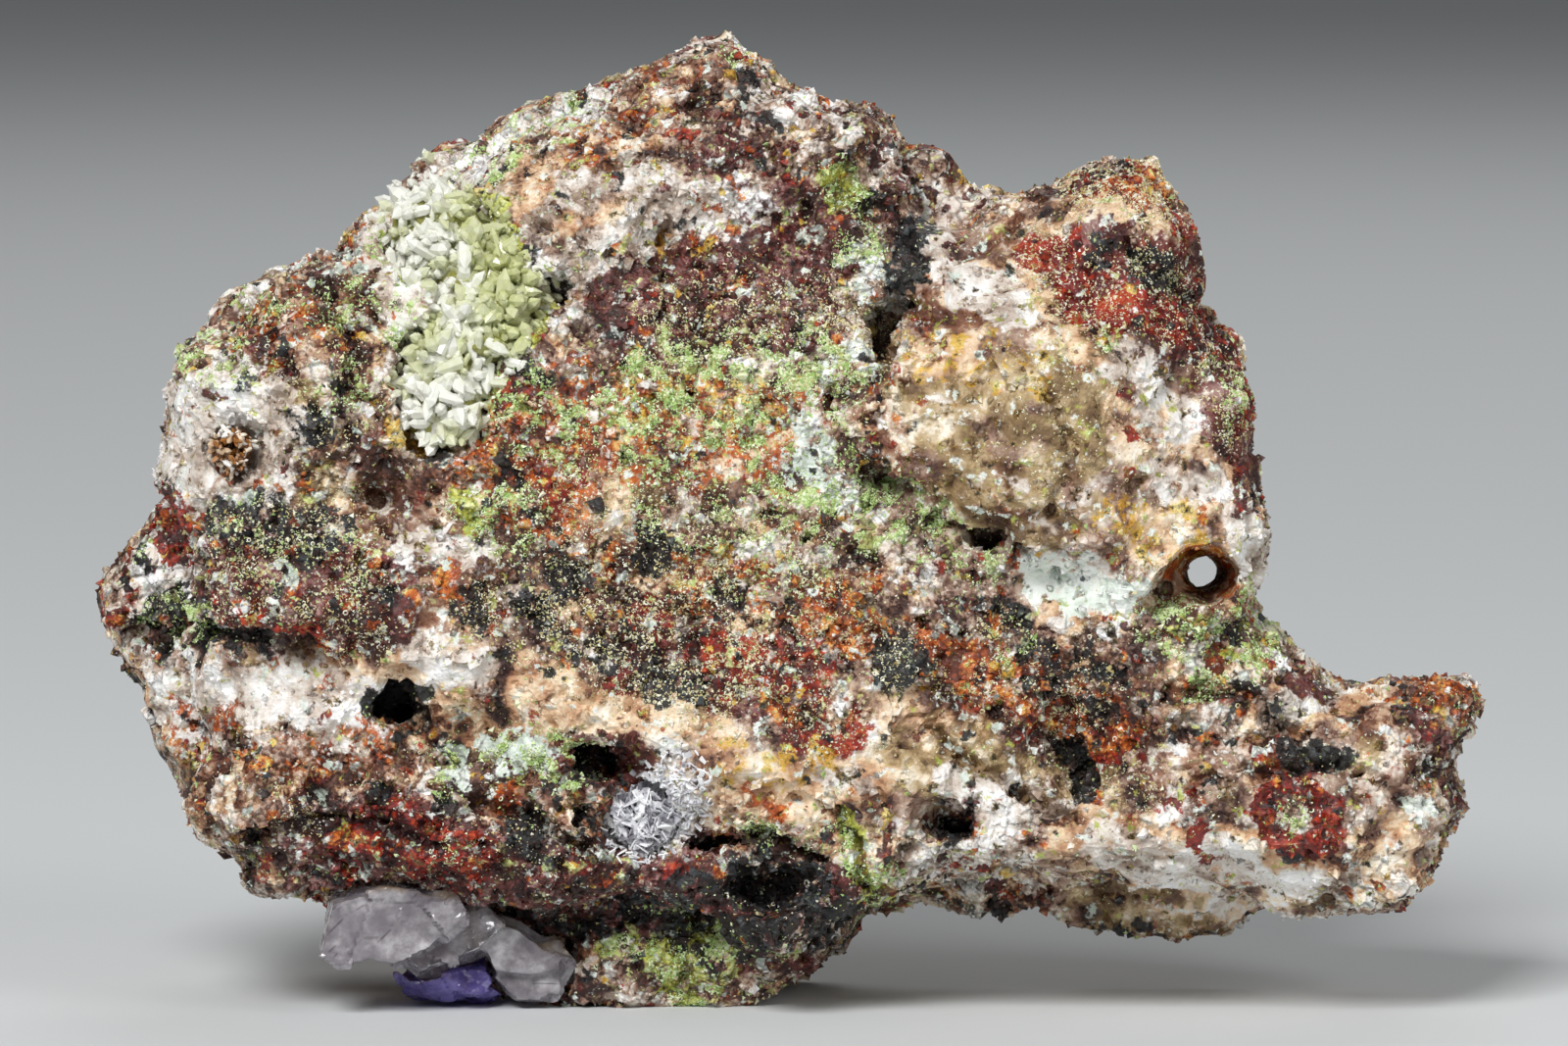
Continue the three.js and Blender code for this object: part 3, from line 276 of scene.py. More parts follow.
# Where the pale green specks lie thick, in the same form
DUST_STROKES = [
    (1.7, 1, (-6.4, 25.2), (-2, 25.8), (1.6, 25.4)), (1.6, 0.9, (-2, 26.2), (0.4, 26)),
    (2.2, 0.8, (-5, 23.6), (0.6, 23)), (1.8, 0.8, (-11.6, 25), (-9.4, 23.2)),
    (1.5, 0.9, (0.2, 21), (1.6, 20.2), (4.4, 19.8), (6.2, 19.2)), (1, 1, (4.8, 19.6), (6.4, 19)),
    (1, 0.8, (-19, 28.6), (-16, 28.6)), (1, 0.8, (-23.6, 26.2), (-22.4, 26)), (0.8, 0.8, (-21.2, 28.4)),
    (0.8, 0.8, (-15.9, 27.3)), (0.7, 0.7, (-15.7, 30.5)), (1.4, 0.6, (-18, 25)),
    (0.7, 0.9, (2.2, 33.4), (2.9, 32.4)), (0.8, 0.7, (3.2, 31), (2.6, 29.6)),
    (1.4, 1, (16, 15.2), (18.8, 14.6)), (0.5, 1, (19, 16.6)), (0.7, 0.8, (17.2, 13)),
    (0.5, 0.8, (19.6, 13.2)), (0.6, 0.9, (8.4, 17.6)), (0.9, 0.6, (9.4, 14.6)),
    (1, 0.8, (3.6, 5), (4.4, 4)), (1, 0.7, (2.4, 6.2)), (0.8, 0.6, (-1.2, 7), (1, 6.6)),
    (1, 0.9, (-13.6, 9.6)), (1.4, 0.9, (-11, 10.4), (-8.8, 9.6)), (1.4, 0.9, (-5, 1.8), (-3.2, 1.2)),
    (0.6, 0.7, (0, 1.6)), (0.6, 0.9, (-2.4, 38.3)), (0.8, 0.8, (-12, 34.4), (-8.4, 36.4)),
    (0.7, 1, (20.9, 7.9)), (0.4, 0.9, (27.8, 11.9)), (1, 0.8, (-24.2, 15.4)),
    (0.5, 0.8, (17.6, 25.6), (18.4, 24.2)), (0.3, 1, (13.5, 32.2)), (0.4, 0.9, (13.1, 26.7)),
    (0.9, 0.7, (-12.8, 20.2)), (1.6, 0.7, (-11.2, 19.6)), (2.4, 0.5, (-4, 20.4), (0, 18.6)),
    (1.8, 0.3, (-22, 19), (-18, 17.6)),
]

# Where the cream specks and little rings lie thick, in the same form
CREAM_DUST_STROKES = [
    (3.2, 0.8, (-7, 15.6), (-3, 14.2)), (2.6, 0.6, (-10.4, 15.8)), (2.4, 0.7, (1.6, 15.6)),
    (2, 0.8, (-4, 19), (0, 18)), (2.5, 0.7, (-8, 20)), (1.4, 0.7, (4.4, 14)), (2, 0.6, (8, 14)),
    (2, 0.6, (11.6, 12.6)), (2.2, 0.6, (12, 28.6), (16, 28.6)), (1.2, 0.9, (10.4, 30.2)),
    (1.4, 1, (12.2, 33.4), (15.6, 33)), (1, 0.7, (17.6, 25.6), (18.2, 23.6)),
    (2.8, 0.6, (-21.6, 18.6), (-18.2, 17.6)), (2, 0.7, (-17.6, 15.8)),
    (3.2, 0.18, (-4.6, 29), (1.6, 28.6)), (2.5, 0.8, (-4, 27.2), (1.6, 27.4)), (4, 0.25, (12, 24)),
    (2, 0.5, (1.6, 11.4)), (1.2, 0.5, (-20, 7.6)), (1.6, 0.5, (14.6, 9)),
    (2.4, 0.4, (-20, 24), (-16, 26)), (1.6, 0.3, (-13, 6.4), (-9, 6)),
]

# Smooth glassy quartz, with less grit and earth on it, in the same form
CALM_STROKES = [
    (4.6, 1, (9, 23.6), (15, 23)), (2.6, 1, (7.6, 29), (12, 28.4)), (1.6, 0.9, (11, 31.8), (16, 31)),
    (2.2, 0.8, (-10, 12), (-3, 10.4)), (1.8, 0.8, (0, 9), (8, 9)), (2, 0.8, (12, 6), (20, 5)),
    (1.6, 0.8, (-23, 12.8), (-17, 12.2)), (1.8, 0.8, (-15, 14.4), (-12.6, 13.8)),
    (2, 0.9, (-24, 22.6), (-21.6, 24)), (2, 0.5, (-10, 33), (-5, 32)),
    (1.8, 0.7, (-8, 20.4), (-6, 20.6)), (1.4, 0.6, (-2, 21.6), (0, 22)), (1.6, 0.7, (22, 12.4), (25, 7)),
    (1.6, 0.6, (4, 12.2), (7, 10.6)), (1.4, 0.6, (-17, 19.6), (-13, 18.2)),
    (2.4, 0.7, (17, 20.6), (17.6, 18.6)), (1.2, 1, (10.6, 17.2), (13.6, 16.6)),
    (1.6, 0.6, (-26, 13), (-25, 9.6)), (1.6, 0.7, (-15, 28), (-15.6, 31.6)),
    (1.4, 0.5, (14, 8.6), (18, 8.6)),
]

# Where the cleft's crystals are tinted yellow-green, in the same form
CLEFT_TINT_STROKES = [(1.3, 1, (-12.2, 32), (-11.2, 30), (-10.8, 27.6)), (0.8, 0.7, (-14.2, 27.4))]

# Cracks and ledge lines: half width, depth and the (u, v) points that each runs through, in mm
CRACKS = [
    (0.35, 0.7, (-26, 14.4), (-23.4, 15.2), (-20.8, 14.6), (-18, 13.4)),
    (0.25, 0.7, (5.9, 10.9), (8.8, 9.2), (11.2, 7.4)), (0.2, 0.6, (-7.3, 34), (-5.9, 34.2)),
    (0.35, 0.9, (4.8, 28.4), (4, 26.4)), (0.3, 0.7, (6.2, 19.6), (9.6, 18.2)),
    (0.3, 0.8, (-12.6, 8.2), (-10, 7.2), (-8, 6.2)), (0.3, 0.6, (-22, 6.8), (-17.6, 7.4), (-14, 6.2)),
    (0.25, 0.5, (9.4, 26.6), (12, 22.6), (11, 19.8)),
    (0.25, 0.6, (14.2, 30.6), (16.8, 28.8), (18.6, 25.4)),
    (0.25, 0.5, (-19, 29.4), (-17.4, 26.4), (-17.6, 23)),
    (0.3, 0.6, (15.4, 12.8), (18.6, 12.4), (21, 10.8)), (0.25, 0.5, (0.4, 8.4), (3, 6.6), (3.2, 4.4)),
    (0.3, 0.7, (-3.6, 6.2), (-1, 6.8), (1.6, 5.8)), (0.25, 0.5, (19.6, 9.4), (22.6, 9.6), (25.4, 8.2)),
]

# Small holes that the solids leave out: (u, v), half width and depth in mm
PINHOLES = [
    (0.7, 19.3, 0.35, 0.9), (2.1, 24.6, 0.35, 0.8), (-3.7, 15.8, 0.35, 0.6), (-20.4, 24.4, 0.4, 0.8),
    (-13.9, 27.1, 0.45, 1.0), (-15.3, 25.0, 0.5, 0.9), (-7.3, 30.4, 0.3, 0.7), (-4.9, 31.2, 0.3, 0.6),
    (-9.9, 31.8, 0.35, 0.7), (-8.2, 7.4, 0.4, 1.0), (-16.9, 24.6, 0.35, 0.6), (-17.2, 18.4, 0.3, 0.6),
    (-14.1, 19.2, 0.3, 0.6), (11.1, 17.6, 0.3, 0.6), (9.5, 18.2, 0.4, 1.1), (12.0, 17.3, 0.25, 0.5),
    (17.1, 13.0, 0.35, 0.8), (-7.8, 9.6, 0.9, 1.2), (-15.9, 12, 1, 1.5), (6.9, 7.3, 0.8, 1.3),
    (7.8, 8.2, 0.3, 0.9), (-22.6, 10.6, 0.45, 0.9), (-12.6, 6.0, 0.3, 0.6), (-1.6, 19.0, 0.25, 0.5),
    (5.4, 15.6, 0.25, 0.5), (2.4, 18.4, 0.25, 0.5), (-6.2, 22.2, 0.3, 0.6), (-3.6, 24.4, 0.25, 0.5),
    (14.4, 21.0, 0.35, 0.6), (16.9, 20.8, 0.3, 0.6), (19.6, 9.0, 0.3, 0.6), (23.6, 9.0, 0.3, 0.6),
    (24.4, 10.2, 0.25, 0.5), (20.2, 11.4, 0.25, 0.5), (-11.4, 3.9, 0.7, 1.2),
]


# Middles of the two places where light comes through the rock, as (u, v)
OPEN_HOLES = [(17.0, 17.0), (6.4, 32.3)]


def linear(code):
    """An sRGB colour, as six hex digits, turned to the linear values that sockets and lights take."""
    parts = [int(code[i:i + 2], 16) / 255 for i in (0, 2, 4)]
    return tuple(p / 12.92 if p <= 0.04045 else ((p + 0.055) / 1.055) ** 2.4 for p in parts) + (1.0,)


class RockSettings(bpy.types.PropertyGroup):
    voxel: bpy.props.FloatProperty(
        name="Grain spacing", description="Distance between the rock's surface points on its back",
        default=0.4 * MM, min=0.2 * MM, unit="LENGTH")
    relief: bpy.props.FloatProperty(
        name="Relief", description="How far broken lumps stand out of the rock's plain surface",
        default=0.34 * MM, unit="LENGTH")
    seed: bpy.props.IntProperty(name="Seed", description="Which rock is drawn", default=4)


class CrystalSettings(bpy.types.PropertyGroup):
    length: bpy.props.FloatProperty(
        name="Cleft crystal length", description="Longest quartz crystal in the cleft",
        default=1.1 * MM, unit="LENGTH")
    cleft: bpy.props.FloatVectorProperty(
        name="Cleft quartz", description="Colour of most of the pale crystals in the cleft",
        default=linear("ECEED0"), size=4, min=0, max=1, subtype="COLOR")
    fluorite: bpy.props.FloatVectorProperty(
        name="Fluorite", description="Colour that the purple fluorite takes up",
        default=linear("7A62C4"), size=4, min=0, max=1, subtype="COLOR")


class DustSettings(bpy.types.PropertyGroup):
    specks: bpy.props.IntProperty(
        name="Specks", description="Number of creaseyite specks of each colour",
        default=38000, min=0, max=48000)
    grains: bpy.props.IntProperty(
        name="Grains", description="Number of loose quartz grains", default=18000, min=0, max=24000)
    rings: bpy.props.IntProperty(
        name="Rings", description="Number of ring-shaped tufts of each colour",
        default=3000, min=0, max=5000)
    speck_size: bpy.props.FloatProperty(
        name="Speck size", description="Half width of a middling speck", default=0.05 * MM, unit="LENGTH")
    green: bpy.props.FloatVectorProperty(
        name="Creaseyite", description="Colour of the middling green specks",
        default=linear("B0CE7C"), size=4, min=0, max=1, subtype="COLOR")


class StageSettings(bpy.types.PropertyGroup):
    floor: bpy.props.FloatVectorProperty(
        name="Floor", description="Colour of the plain pale floor",
        default=linear("DCDFE0"), size=4, min=0, max=1, subtype="COLOR")
    key: bpy.props.FloatProperty(
        name="Key light", description="Power of the main softbox", default=3.9, unit="POWER")
    fill: bpy.props.FloatProperty(
        name="Fill light", description="Power of the two filling softboxes", default=0.9, unit="POWER")


def lattice_hash(cells, seed):
    """A whole number from 0 to 65535 for each cell of a grid, the same every run."""
    x, y, z = (cells[:, i].astype(np.uint64) for i in range(3))
    h = x * np.uint64(73856093) ^ y * np.uint64(19349663) ^ z * np.uint64(83492791)
    h ^= np.uint64(seed * 2654435761 % 2 ** 31)
    h = (h ^ (h >> np.uint64(13))) * np.uint64(1274126177)
    h = (h ^ (h >> np.uint64(16))) * np.uint64(2246822519)
    return (h >> np.uint64(11)) & np.uint64(65535)


def cell_random(cells, seed):
    """Three random numbers from 0 to 1 for each cell of a grid."""
    return np.stack([lattice_hash(cells, seed + i) / 65535.0 for i in range(3)], axis=1)


def smooth_noise(points, wavelength, seed):
    """Noise from about -1 to 1 at points in mm, with lumps a wavelength apart."""
    p = points / wavelength + 1000.0
    base = np.floor(p)
    part = p - base
    ease = part ** 3 * (part * (part * 6 - 15) + 10)
    total = np.zeros(len(points))
    for corner in itertools.product((0, 1), repeat=3):
        slope = cell_random(base + corner, seed) * 2 - 1
        weight = np.prod(np.where(corner, ease, 1 - ease), axis=1)
        total += weight * np.einsum("ij,ij->i", slope, part - corner)
    return total * 1.5


def layered_noise(points, wavelength, seed, octaves=3):
    """Noise with finer and fainter noise on it."""
    return sum(smooth_noise(points, wavelength / 2 ** i, seed + 7 * i) / 1.8 ** i for i in range(octaves))


def grains(points, size, seed):
    """The grain that each point lies in: distance from its middle in grain sizes, its random numbers,
    and how high the point lies on the grain's own tilted face."""
    p = points / size + 1000.0
    base = np.floor(p)
    near = np.full(len(points), 9.0)
    pick = np.zeros((len(points), 3))
    face = np.zeros(len(points))
    for step in itertools.product((-1, 0, 1), repeat=3):
        cell = base + step
        value = cell_random(cell, seed)
        away = p - cell - value
        distance = np.einsum("ij,ij->i", away, away)
        tilt = cell_random(cell, seed + 31) * 2 - 1
        closer = distance < near
        near[closer] = distance[closer]
        pick[closer] = value[closer]
        face[closer] = np.einsum("ij,ij->i", away, tilt)[closer]
    return np.sqrt(near), pick, face


def stroke_cover(strokes, u, v):
    """How fully a mineral covers each point, from 0 to 1, by its strokes."""
    cover = np.zeros(len(u))
    for radius, strength, *path in strokes:
        near = np.full(len(u), 1e9)
        for (au, av), (bu, bv) in zip(path, path[1:] or path):
            lu, lv = bu - au, bv - av
            t = np.clip(((u - au) * lu + (v - av) * lv) / (lu * lu + lv * lv + 1e-9), 0, 1)
            near = np.minimum(near, np.hypot(u - au - t * lu, v - av - t * lv))
        inside = np.clip(1.45 - near / radius, 0, 0.9) / 0.9
        cover = np.maximum(cover, strength * inside * inside * (3 - 2 * inside))
    return cover


def seen_layout(points):
    """Points of the part's frame, in mm, as u, v and depth d of the seen layout."""
    cos, sin = math.cos(EYE_ELEVATION), math.sin(EYE_ELEVATION)
    real = points + real_place(*FLAT_SPOT)
    depth = real[:, 1] * cos - real[:, 2] * sin
    spread = 1 + depth / EYE_DISTANCE
    up = real[:, 1] * sin + real[:, 2] * cos
    return real[:, 0] / spread, EYE_V + up / spread, depth


def real_place(u, d, v):
    """A place of the seen layout, in mm, before the flat spot is moved to the origin."""
    cos, sin = math.cos(EYE_ELEVATION), math.sin(EYE_ELEVATION)
    spread = 1 + d / EYE_DISTANCE
    up = (v - EYE_V) * spread
    return np.array([u * spread, d * cos + up * sin, up * cos - d * sin])


def smooth_step(value, low, high):
    """From 0 at low to 1 at high, with soft ends."""
    t = np.clip((value - low) / (high - low), 0, 1)
    return t * t * (3 - 2 * t)


def mesh_arrays(mesh):
    """Points in mm, point normals and triangles of a mesh."""
    points = np.empty(len(mesh.vertices) * 3)
    normals = np.empty(len(mesh.vertices) * 3)
    mesh.vertices.foreach_get("co", points)
    mesh.vertex_normals.foreach_get("vector", normals)
    mesh.calc_loop_triangles()
    triangles = np.empty(len(mesh.loop_triangles) * 3, dtype=np.int32)
    mesh.loop_triangles.foreach_get("vertices", triangles)
    return points.reshape(-1, 3) / MM, normals.reshape(-1, 3), triangles.reshape(-1, 3)


def set_points(mesh, points):
    """Moves a mesh's points to the given places in mm."""
    mesh.vertices.foreach_set("co", (points * MM).ravel())
    mesh.update()


def store_value(mesh, name, values):
    """Keeps one number per point, for the materials to read."""
    layer = mesh.attributes.new(name, "FLOAT", "POINT")
    layer.data.foreach_set("value", values.astype(np.float32))


def read_value(mesh, name):
    """The numbers that store_value kept."""
    values = np.empty(len(mesh.vertices), dtype=np.float32)
    mesh.attributes[name].data.foreach_get("value", values)
    return values


def remeshed_copy(node, name, voxel):
    """A new piece with the shape of a CAD node, in small even faces."""
    piece = bpy.data.objects.new(name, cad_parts[node].data.copy())
    bpy.context.scene.collection.objects.link(piece)
    remesh = piece.modifiers.new("Even faces", "REMESH")
    remesh.mode = "VOXEL"
    remesh.voxel_size = voxel
    evaluated = piece.evaluated_get(bpy.context.evaluated_depsgraph_get())
    mesh = bpy.data.meshes.new_from_object(evaluated)
    piece.modifiers.clear()
    piece.data = mesh
    return piece


def new_piece(name, points, faces):
    """A new piece from points in mm and faces."""
    mesh = bpy.data.meshes.new(name)
    mesh.from_pydata((points * MM).tolist(), [], faces)
    mesh.update()
    piece = bpy.data.objects.new(name, mesh)
    bpy.context.scene.collection.objects.link(piece)
    return piece


def settle(piece, node, material):
    """The piece stands for a CAD node, or lies on it when node is None, and takes its finish."""
    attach(piece, "root")
    if node:
        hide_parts(node)
    piece.data.materials.clear()
    piece.data.materials.append(material)


def scatter(surface, density, count, random):
    """Places on a surface, thick where density is high: points in mm, normals and nearest points."""
    points, normals, triangles = surface
    corners = points[triangles]
    area = np.linalg.norm(np.cross(corners[:, 1] - corners[:, 0], corners[:, 2] - corners[:, 0]), axis=1)
    reach = np.cumsum(area * density[triangles].mean(axis=1))
    chosen = np.searchsorted(reach, random.random(count) * reach[-1])
    share = random.dirichlet((1, 1, 1), count)[:, :, None]
    place = (corners[chosen] * share).sum(axis=1)
    normal = (normals[triangles[chosen]] * share).sum(axis=1)
    return place, normal / np.linalg.norm(normal, axis=1, keepdims=True), triangles[chosen, 0]


def copies(shape, places, normals, sizes, random, lean):
    """Many copies of one small shape, each turned at random about its normal and leaning a little. The
    shape is its points and faces, and sizes holds each copy's three half sizes. Returns all points, all
    faces and the copy's number per point."""
    corners, faces = shape
    count = len(places)
    up = normals + lean * random.normal(size=(count, 3))
    up /= np.linalg.norm(up, axis=1, keepdims=True)
    across = np.cross(up, random.normal(size=(count, 3)))
    across /= np.linalg.norm(across, axis=1, keepdims=True)
    along = np.cross(up, across)
    basis = np.stack([across, along, up], axis=1) * sizes[:, :, None]
    points = places[:, None, :] + np.einsum("kc,ncd->nkd", corners, basis)
    shift = np.arange(count) * len(corners)
    all_faces = [[i + s for i in face] for s in shift.tolist() for face in faces]
    return points.reshape(-1, 3), all_faces, np.repeat(np.arange(count), len(corners))


def draw_shades(shades, places, random):
    """One shade per copy, from a function of the places or evenly from a (low, high) pair."""
    if callable(shades):
        return shades(places, random)
    return random.uniform(*shades, len(places))


def strewn_piece(name, material, shape, chosen, sizes, random, lean, shades, source=None):
    """One piece of many copies at the chosen places. Where a source is given, they take its minerals."""
    places, normals, nearest = chosen
    points, faces, owner = copies(shape, places, normals, sizes, random, lean)
    points[:, 2] = np.maximum(points[:, 2], 0)
    piece = new_piece(name, points, faces)
    shade = draw_shades(shades, places, random)[owner]
    store_value(piece.data, "shade", shade)
    if source:
        for mineral in MINERAL_LOOKS:
            store_value(piece.data, mineral, read_value(source, mineral)[nearest][owner])
        # Painted light: each grain's height is the rock's under it plus its shade, so the grains are
        # painted lighter than the rock
        store_value(piece.data, "height", read_value(source, "height")[nearest][owner] + shade)
    settle(piece, None, material)


def fringe_places(stroke, count, random):
    """Places about one stroke on the rock's face, where crystals stand round a hollow."""
    surface = mesh_arrays(bpy.data.objects["rock"].data)
    u, v, depth = seen_layout(surface[0])
    near = stroke_cover([stroke], u, v) ** 2 * smooth_step(-depth, -3.0, 1.0)
    return scatter(surface, near, count, random)


def settle_crust(name, node, material, bed, points, grown, shade, bed_shade):
    """One piece of a crust's bed, its points moved, and of the (points, faces) that are grown on it."""
    bed_faces = mesh_arrays(bed.data)[2].tolist()
    bpy.data.objects.remove(bed)
    shift = len(points)
    faces = bed_faces + [[i + shift for i in face] for face in grown[1]]
    crust = new_piece(name, np.vstack([points, grown[0]]), faces)
    store_value(crust.data, "shade", np.concatenate([np.full(shift, bed_shade), shade]))
    settle(crust, node, material)


def crystal_shape(sides=6, shoulder=0.6):
    """A pointed prism one unit high and one in radius, its foot a little under 0."""
    angles = np.arange(sides) * 2 * math.pi / sides
    ring = np.stack([np.cos(angles), np.sin(angles), np.zeros(sides)], axis=1)
    points = np.vstack([ring + (0, 0, -0.25), ring * (0.92, 0.92, 1) + (0, 0, shoulder), [(0.08, 0, 1)]])
    tip = 2 * sides
    faces = [list(range(sides))[::-1]]
    for i in range(sides):
        j = (i + 1) % sides
        faces.append([i, j, sides + j, sides + i])
        faces.append([sides + i, sides + j, tip])
    return points, faces


def speck_shape():
    """The smallest lump, with four faces."""
    points = np.array([(1, 0.1, -0.3), (-0.6, 0.9, -0.2), (-0.5, -0.9, -0.3), (0.1, 0, 1)])
    return points, [[0, 1, 3], [1, 2, 3], [2, 0, 3], [2, 1, 0]]


def grain_shape():
    """A small lump with eight faces, uneven on purpose."""
    points = np.array([(1, 0.1, 0), (0, 0.9, 0.2), (-0.9, 0, -0.1), (0.1, -1, 0), (0, 0.1, 1), (0, 0, -1)])
    faces = [[0, 1, 4], [1, 2, 4], [2, 3, 4], [3, 0, 4], [1, 0, 5], [2, 1, 5], [3, 2, 5], [0, 3, 5]]
    return points, faces


def blade_shape():
    """A flat box, its foot a little under 0."""
    points = np.array([
        (-1, -1, -0.3), (1, -1, -0.3), (1, 1, -0.3), (-1, 1, -0.3),
        (-1, -1, 1), (1, -1, 1), (1, 1, 1), (-1, 1, 1)])
    return points, [[3, 2, 1, 0], [4, 5, 6, 7], [0, 1, 5, 4], [1, 2, 6, 5], [2, 3, 7, 6], [3, 0, 4, 7]]


def ring_shape(around=6, across=3):
    """A little ring, one unit from its middle to the middle of its thickness."""
    points, faces = [], []
    for i in range(around):
        angle = 2 * math.pi * i / around
        for k in range(across):
            turn = 2 * math.pi * k / across
            reach = 1 + 0.36 * math.cos(turn)
            points.append((reach * math.cos(angle), reach * math.sin(angle), 0.36 * math.sin(turn)))
            j, m = (i + 1) % around, (k + 1) % across
            faces.append([i * across + k, j * across + k, j * across + m, i * across + m])
    return np.array(points), faces


def add_node(tree, kind, inputs=None, stops=None, **settings):
    """Adds a node with its settings, fills or links its inputs, and sets a ramp's (place, hex) stops."""
    node = tree.nodes.new(kind)
    for name, value in settings.items():
        setattr(node, name, value)
    for key, value in (inputs or {}).items():
        if isinstance(value, bpy.types.NodeSocket):
            tree.links.new(value, node.inputs[key])
        else:
            node.inputs[key].default_value = value
    if stops:
        elements = node.color_ramp.elements
        while len(elements) < len(stops):
            elements.new(0.5)
        for element, (place, code) in zip(elements, stops):
            element.position = place
            element.color = linear(code)
    return node


def new_material(name):
    """An empty node material, with its tree, its Principled shader and its output."""
    material = bpy.data.materials.new(name)
    material.use_nodes = True
    tree = material.node_tree
    tree.nodes.clear()
    shader = add_node(tree, "ShaderNodeBsdfPrincipled")
    output = add_node(tree, "ShaderNodeOutputMaterial", {"Surface": shader.outputs["BSDF"]})
    return material, tree, shader, output


def per_mm(size):
    """The scale of a pattern whose features are size mm across, in object coordinates of metres."""
    return 1000.0 / size


# How each mineral looks, from the ground up: the noise that breaks its edge, how ragged and how soft that
# edge is, how solidly it covers, and its colours from the darkest grain to the palest
MINERAL_LOOKS = {
    "brown": ("wide", 0.8, 0.25, 0.85, ["2A1108", "5C2D18", "8C583A", "C09672"]),
    "smoky": ("wide", 0.7, 0.25, 0.9, ["664C32", "967C54", "BEA67C", "E6DAC0"]),
    "cream": ("wide", 0.75, 0.22, 0.97, ["96644A", "CCA07A", "EED4B2", "FDF4E4"]),
    "white": ("wide", 0.65, 0.20, 1.0, ["A48E7E", "DCD0C4", "F5F1EC", "FFFFFF"]),
    "maroon": ("fine", 0.75, 0.20, 0.97, ["240706", "46140F", "6C2A25", "9A7470"]),
    "brick": ("fine", 0.75, 0.14, 0.97, ["2E0705", "64100A", "98210C", "BE4620"]),
    "rust": ("fine", 0.85, 0.14, 0.95, ["642408", "A0420C", "CC6A1E", "E6A654"]),
    "ochre": ("fine", 0.8, 0.16, 0.95, ["8E5E16", "C4902A", "DDB64A", "EBD98E"]),
    "lime": ("fine", 0.8, 0.16, 0.9, ["6C6E1E", "A3A83A", "CBD05A", "E4E8A0"]),
    "powder": ("fine", 1.0, 0.14, 0.95, ["BCC8BC", "E2ECE2", "F4FAF4", "FFFFFF"]),
    "black": ("fine", 0.8, 0.18, 0.97, ["050506", "0C0F11", "1A2023", "3E4648"]),
    "film": ("fine", 0.9, 0.16, 0.85, ["666830", "9FAC58", "C8D68C", "E8F0C4"]),
}

# How each mineral lies on the sides and back: patch size in mm, and the noise where it starts and is full
BACK_PATCH = {
    "brown": (7.0, -0.2, 0.3), "smoky": (5.0, 0.1, 0.5), "cream": (6.0, -0.1, 0.4),
    "white": (5.0, 0.3, 0.7), "maroon": (5.0, 0.25, 0.6), "brick": (3.0, 0.4, 0.7),
    "rust": (3.4, 0.35, 0.7), "ochre": (3.0, 0.55, 0.85), "lime": (2.6, 0.7, 1.0),
    "powder": (3.0, 0.6, 0.9), "black": (3.0, 0.4, 0.7),
}

# Small flecks of each mineral all over: fleck size in mm, and the noise where a fleck starts and is full
FLECKS = {
    "white": (1.3, 0.25, 0.5), "cream": (1.5, 0.25, 0.5), "maroon": (1.1, 0.42, 0.65),
    "brick": (0.9, 0.45, 0.7), "rust": (1.0, 0.4, 0.65), "ochre": (0.8, 0.6, 0.8),
    "black": (0.9, 0.48, 0.7), "powder": (0.8, 0.55, 0.8),
}


